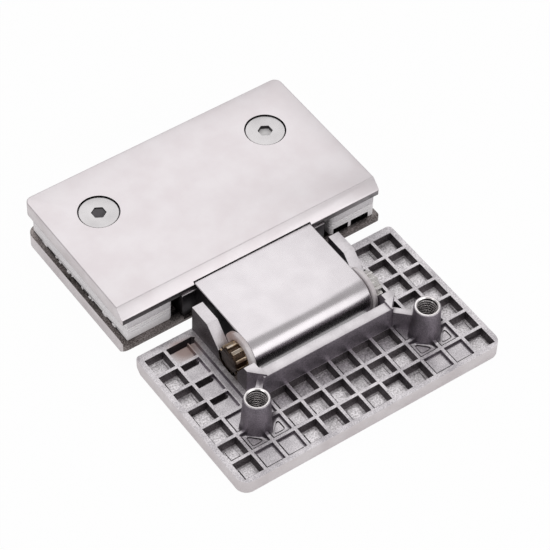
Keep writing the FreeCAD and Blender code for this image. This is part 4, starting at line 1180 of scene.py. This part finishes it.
def gasket(name, low, high):
    """A sheet with a mouth for the block, two holes for the clamp screws and round edges."""
    sheet = box(name + "_sheet", (-GASKET_HALF, GASKET_NEAR, low + 0.05),
                (GASKET_HALF, GASKET_FAR, high - 0.05))
    mouth = box("mouth", (-MOUTH_HALF, GASKET_NEAR - 5, low - 1),
                (MOUTH_HALF, GASKET_NEAR + MOUTH_DEEP, high + 1))
    combine(sheet, mouth, "DIFFERENCE")
    for side in (-1, 1):
        hole = round_bar("hole", "Z", low - 1, high + 1, GASKET_HOLE_R,
                         (side * BOSS_X, LEAF_GAP / 2 + BOSS_Y))
        combine(sheet, hole, "DIFFERENCE")
    shape(sheet, "EDGE")
    pick(sheet, lambda m, e: abs(abs(m.x) - MOUTH_HALF) < 0.01 and abs(m.y - GASKET_NEAR) < 0.01
         and abs(m.z - (low + high) / 2) < 0.1, "edges")
    bpy.ops.mesh.bevel(offset=1.5 * MM, segments=6, affect="EDGES")
    return soften(done(sheet), 0.2, segments=3)


def cut_lines(sheet, low):
    """Cut the lower edge back along the front and the left side."""
    front = (GASKET_HALF + 1, GASKET_NEAR + LINE)
    left = (LINE - GASKET_HALF, GASKET_FAR + 1)
    for far_x, far_y in (front, left):
        line = box("line", (-GASKET_HALF - 1, GASKET_NEAR - 1, low - 1), (far_x, far_y, low + LINE))
        combine(sheet, line, "DIFFERENCE")


def cut_channels(sheet, low, high):
    """Two channels from the front, with a post between them."""
    for start, end in CHANNELS:
        channel = box("channel", (start, GASKET_NEAR - 1, low + 0.1),
                      (end, GASKET_NEAR + CHANNEL_DEEP, high - CHANNEL_ROOF))
        combine(sheet, channel, "DIFFERENCE")


def add_burrs(sheet, low):
    """Ragged bits along the left side's lower edge."""
    for _ in range(BURRS):
        at = rng.uniform(GASKET_NEAR + 2, GASKET_FAR - 4)
        long = rng.uniform(0.3, 1.8)
        burr = box("burr", (-GASKET_HALF - rng.uniform(0.15, 0.5), at, low + 0.05),
                   (-GASKET_HALF + 1, at + long, low + rng.uniform(0.25, 0.7)))
        combine(sheet, soften(burr, 0.1), "UNION")


def in_channel(m, high):
    """Whether a point lies on a channel's walls."""
    return (CHANNELS[0][0] - 0.1 < m.x < CHANNELS[1][1] + 0.1 and m.z < high - CHANNEL_ROOF + 0.05
            and GASKET_NEAR + 0.05 < m.y < GASKET_NEAR + CHANNEL_DEEP + 0.1)


# %% The four layers
for name, low, high in LAYERS:
    sheet = gasket(name, low, high)
    if name == "gasket_front_thick":
        cut_lines(sheet, low)
    if name == "gasket_back_thick":
        cut_channels(sheet, low, high)
        add_burrs(sheet, low)
    finish_piece(sheet, "gasket_fibre", "clamp_leaf", name)
    if name == "gasket_front_thick":
        # Painted shade: the hinge-side face, under the cover's edge, is painted grey.
        paint(sheet, "gasket_grey", lambda m, n: n.y < -0.9)
        paint(sheet, "shadowed", lambda m, n: m.z < low + LINE - 0.05 and max(-n.x, -n.y) > 0.9)
    if name == "gasket_back_thick":
        paint(sheet, "shadowed", lambda m, n: in_channel(m, high))

# %% [markdown]
# The last cell prints the dressed model's box and hands the scene over.

# %% Sizes and finish
low, high = [[float(v) for v in corner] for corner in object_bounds()]
print("box", low, high)
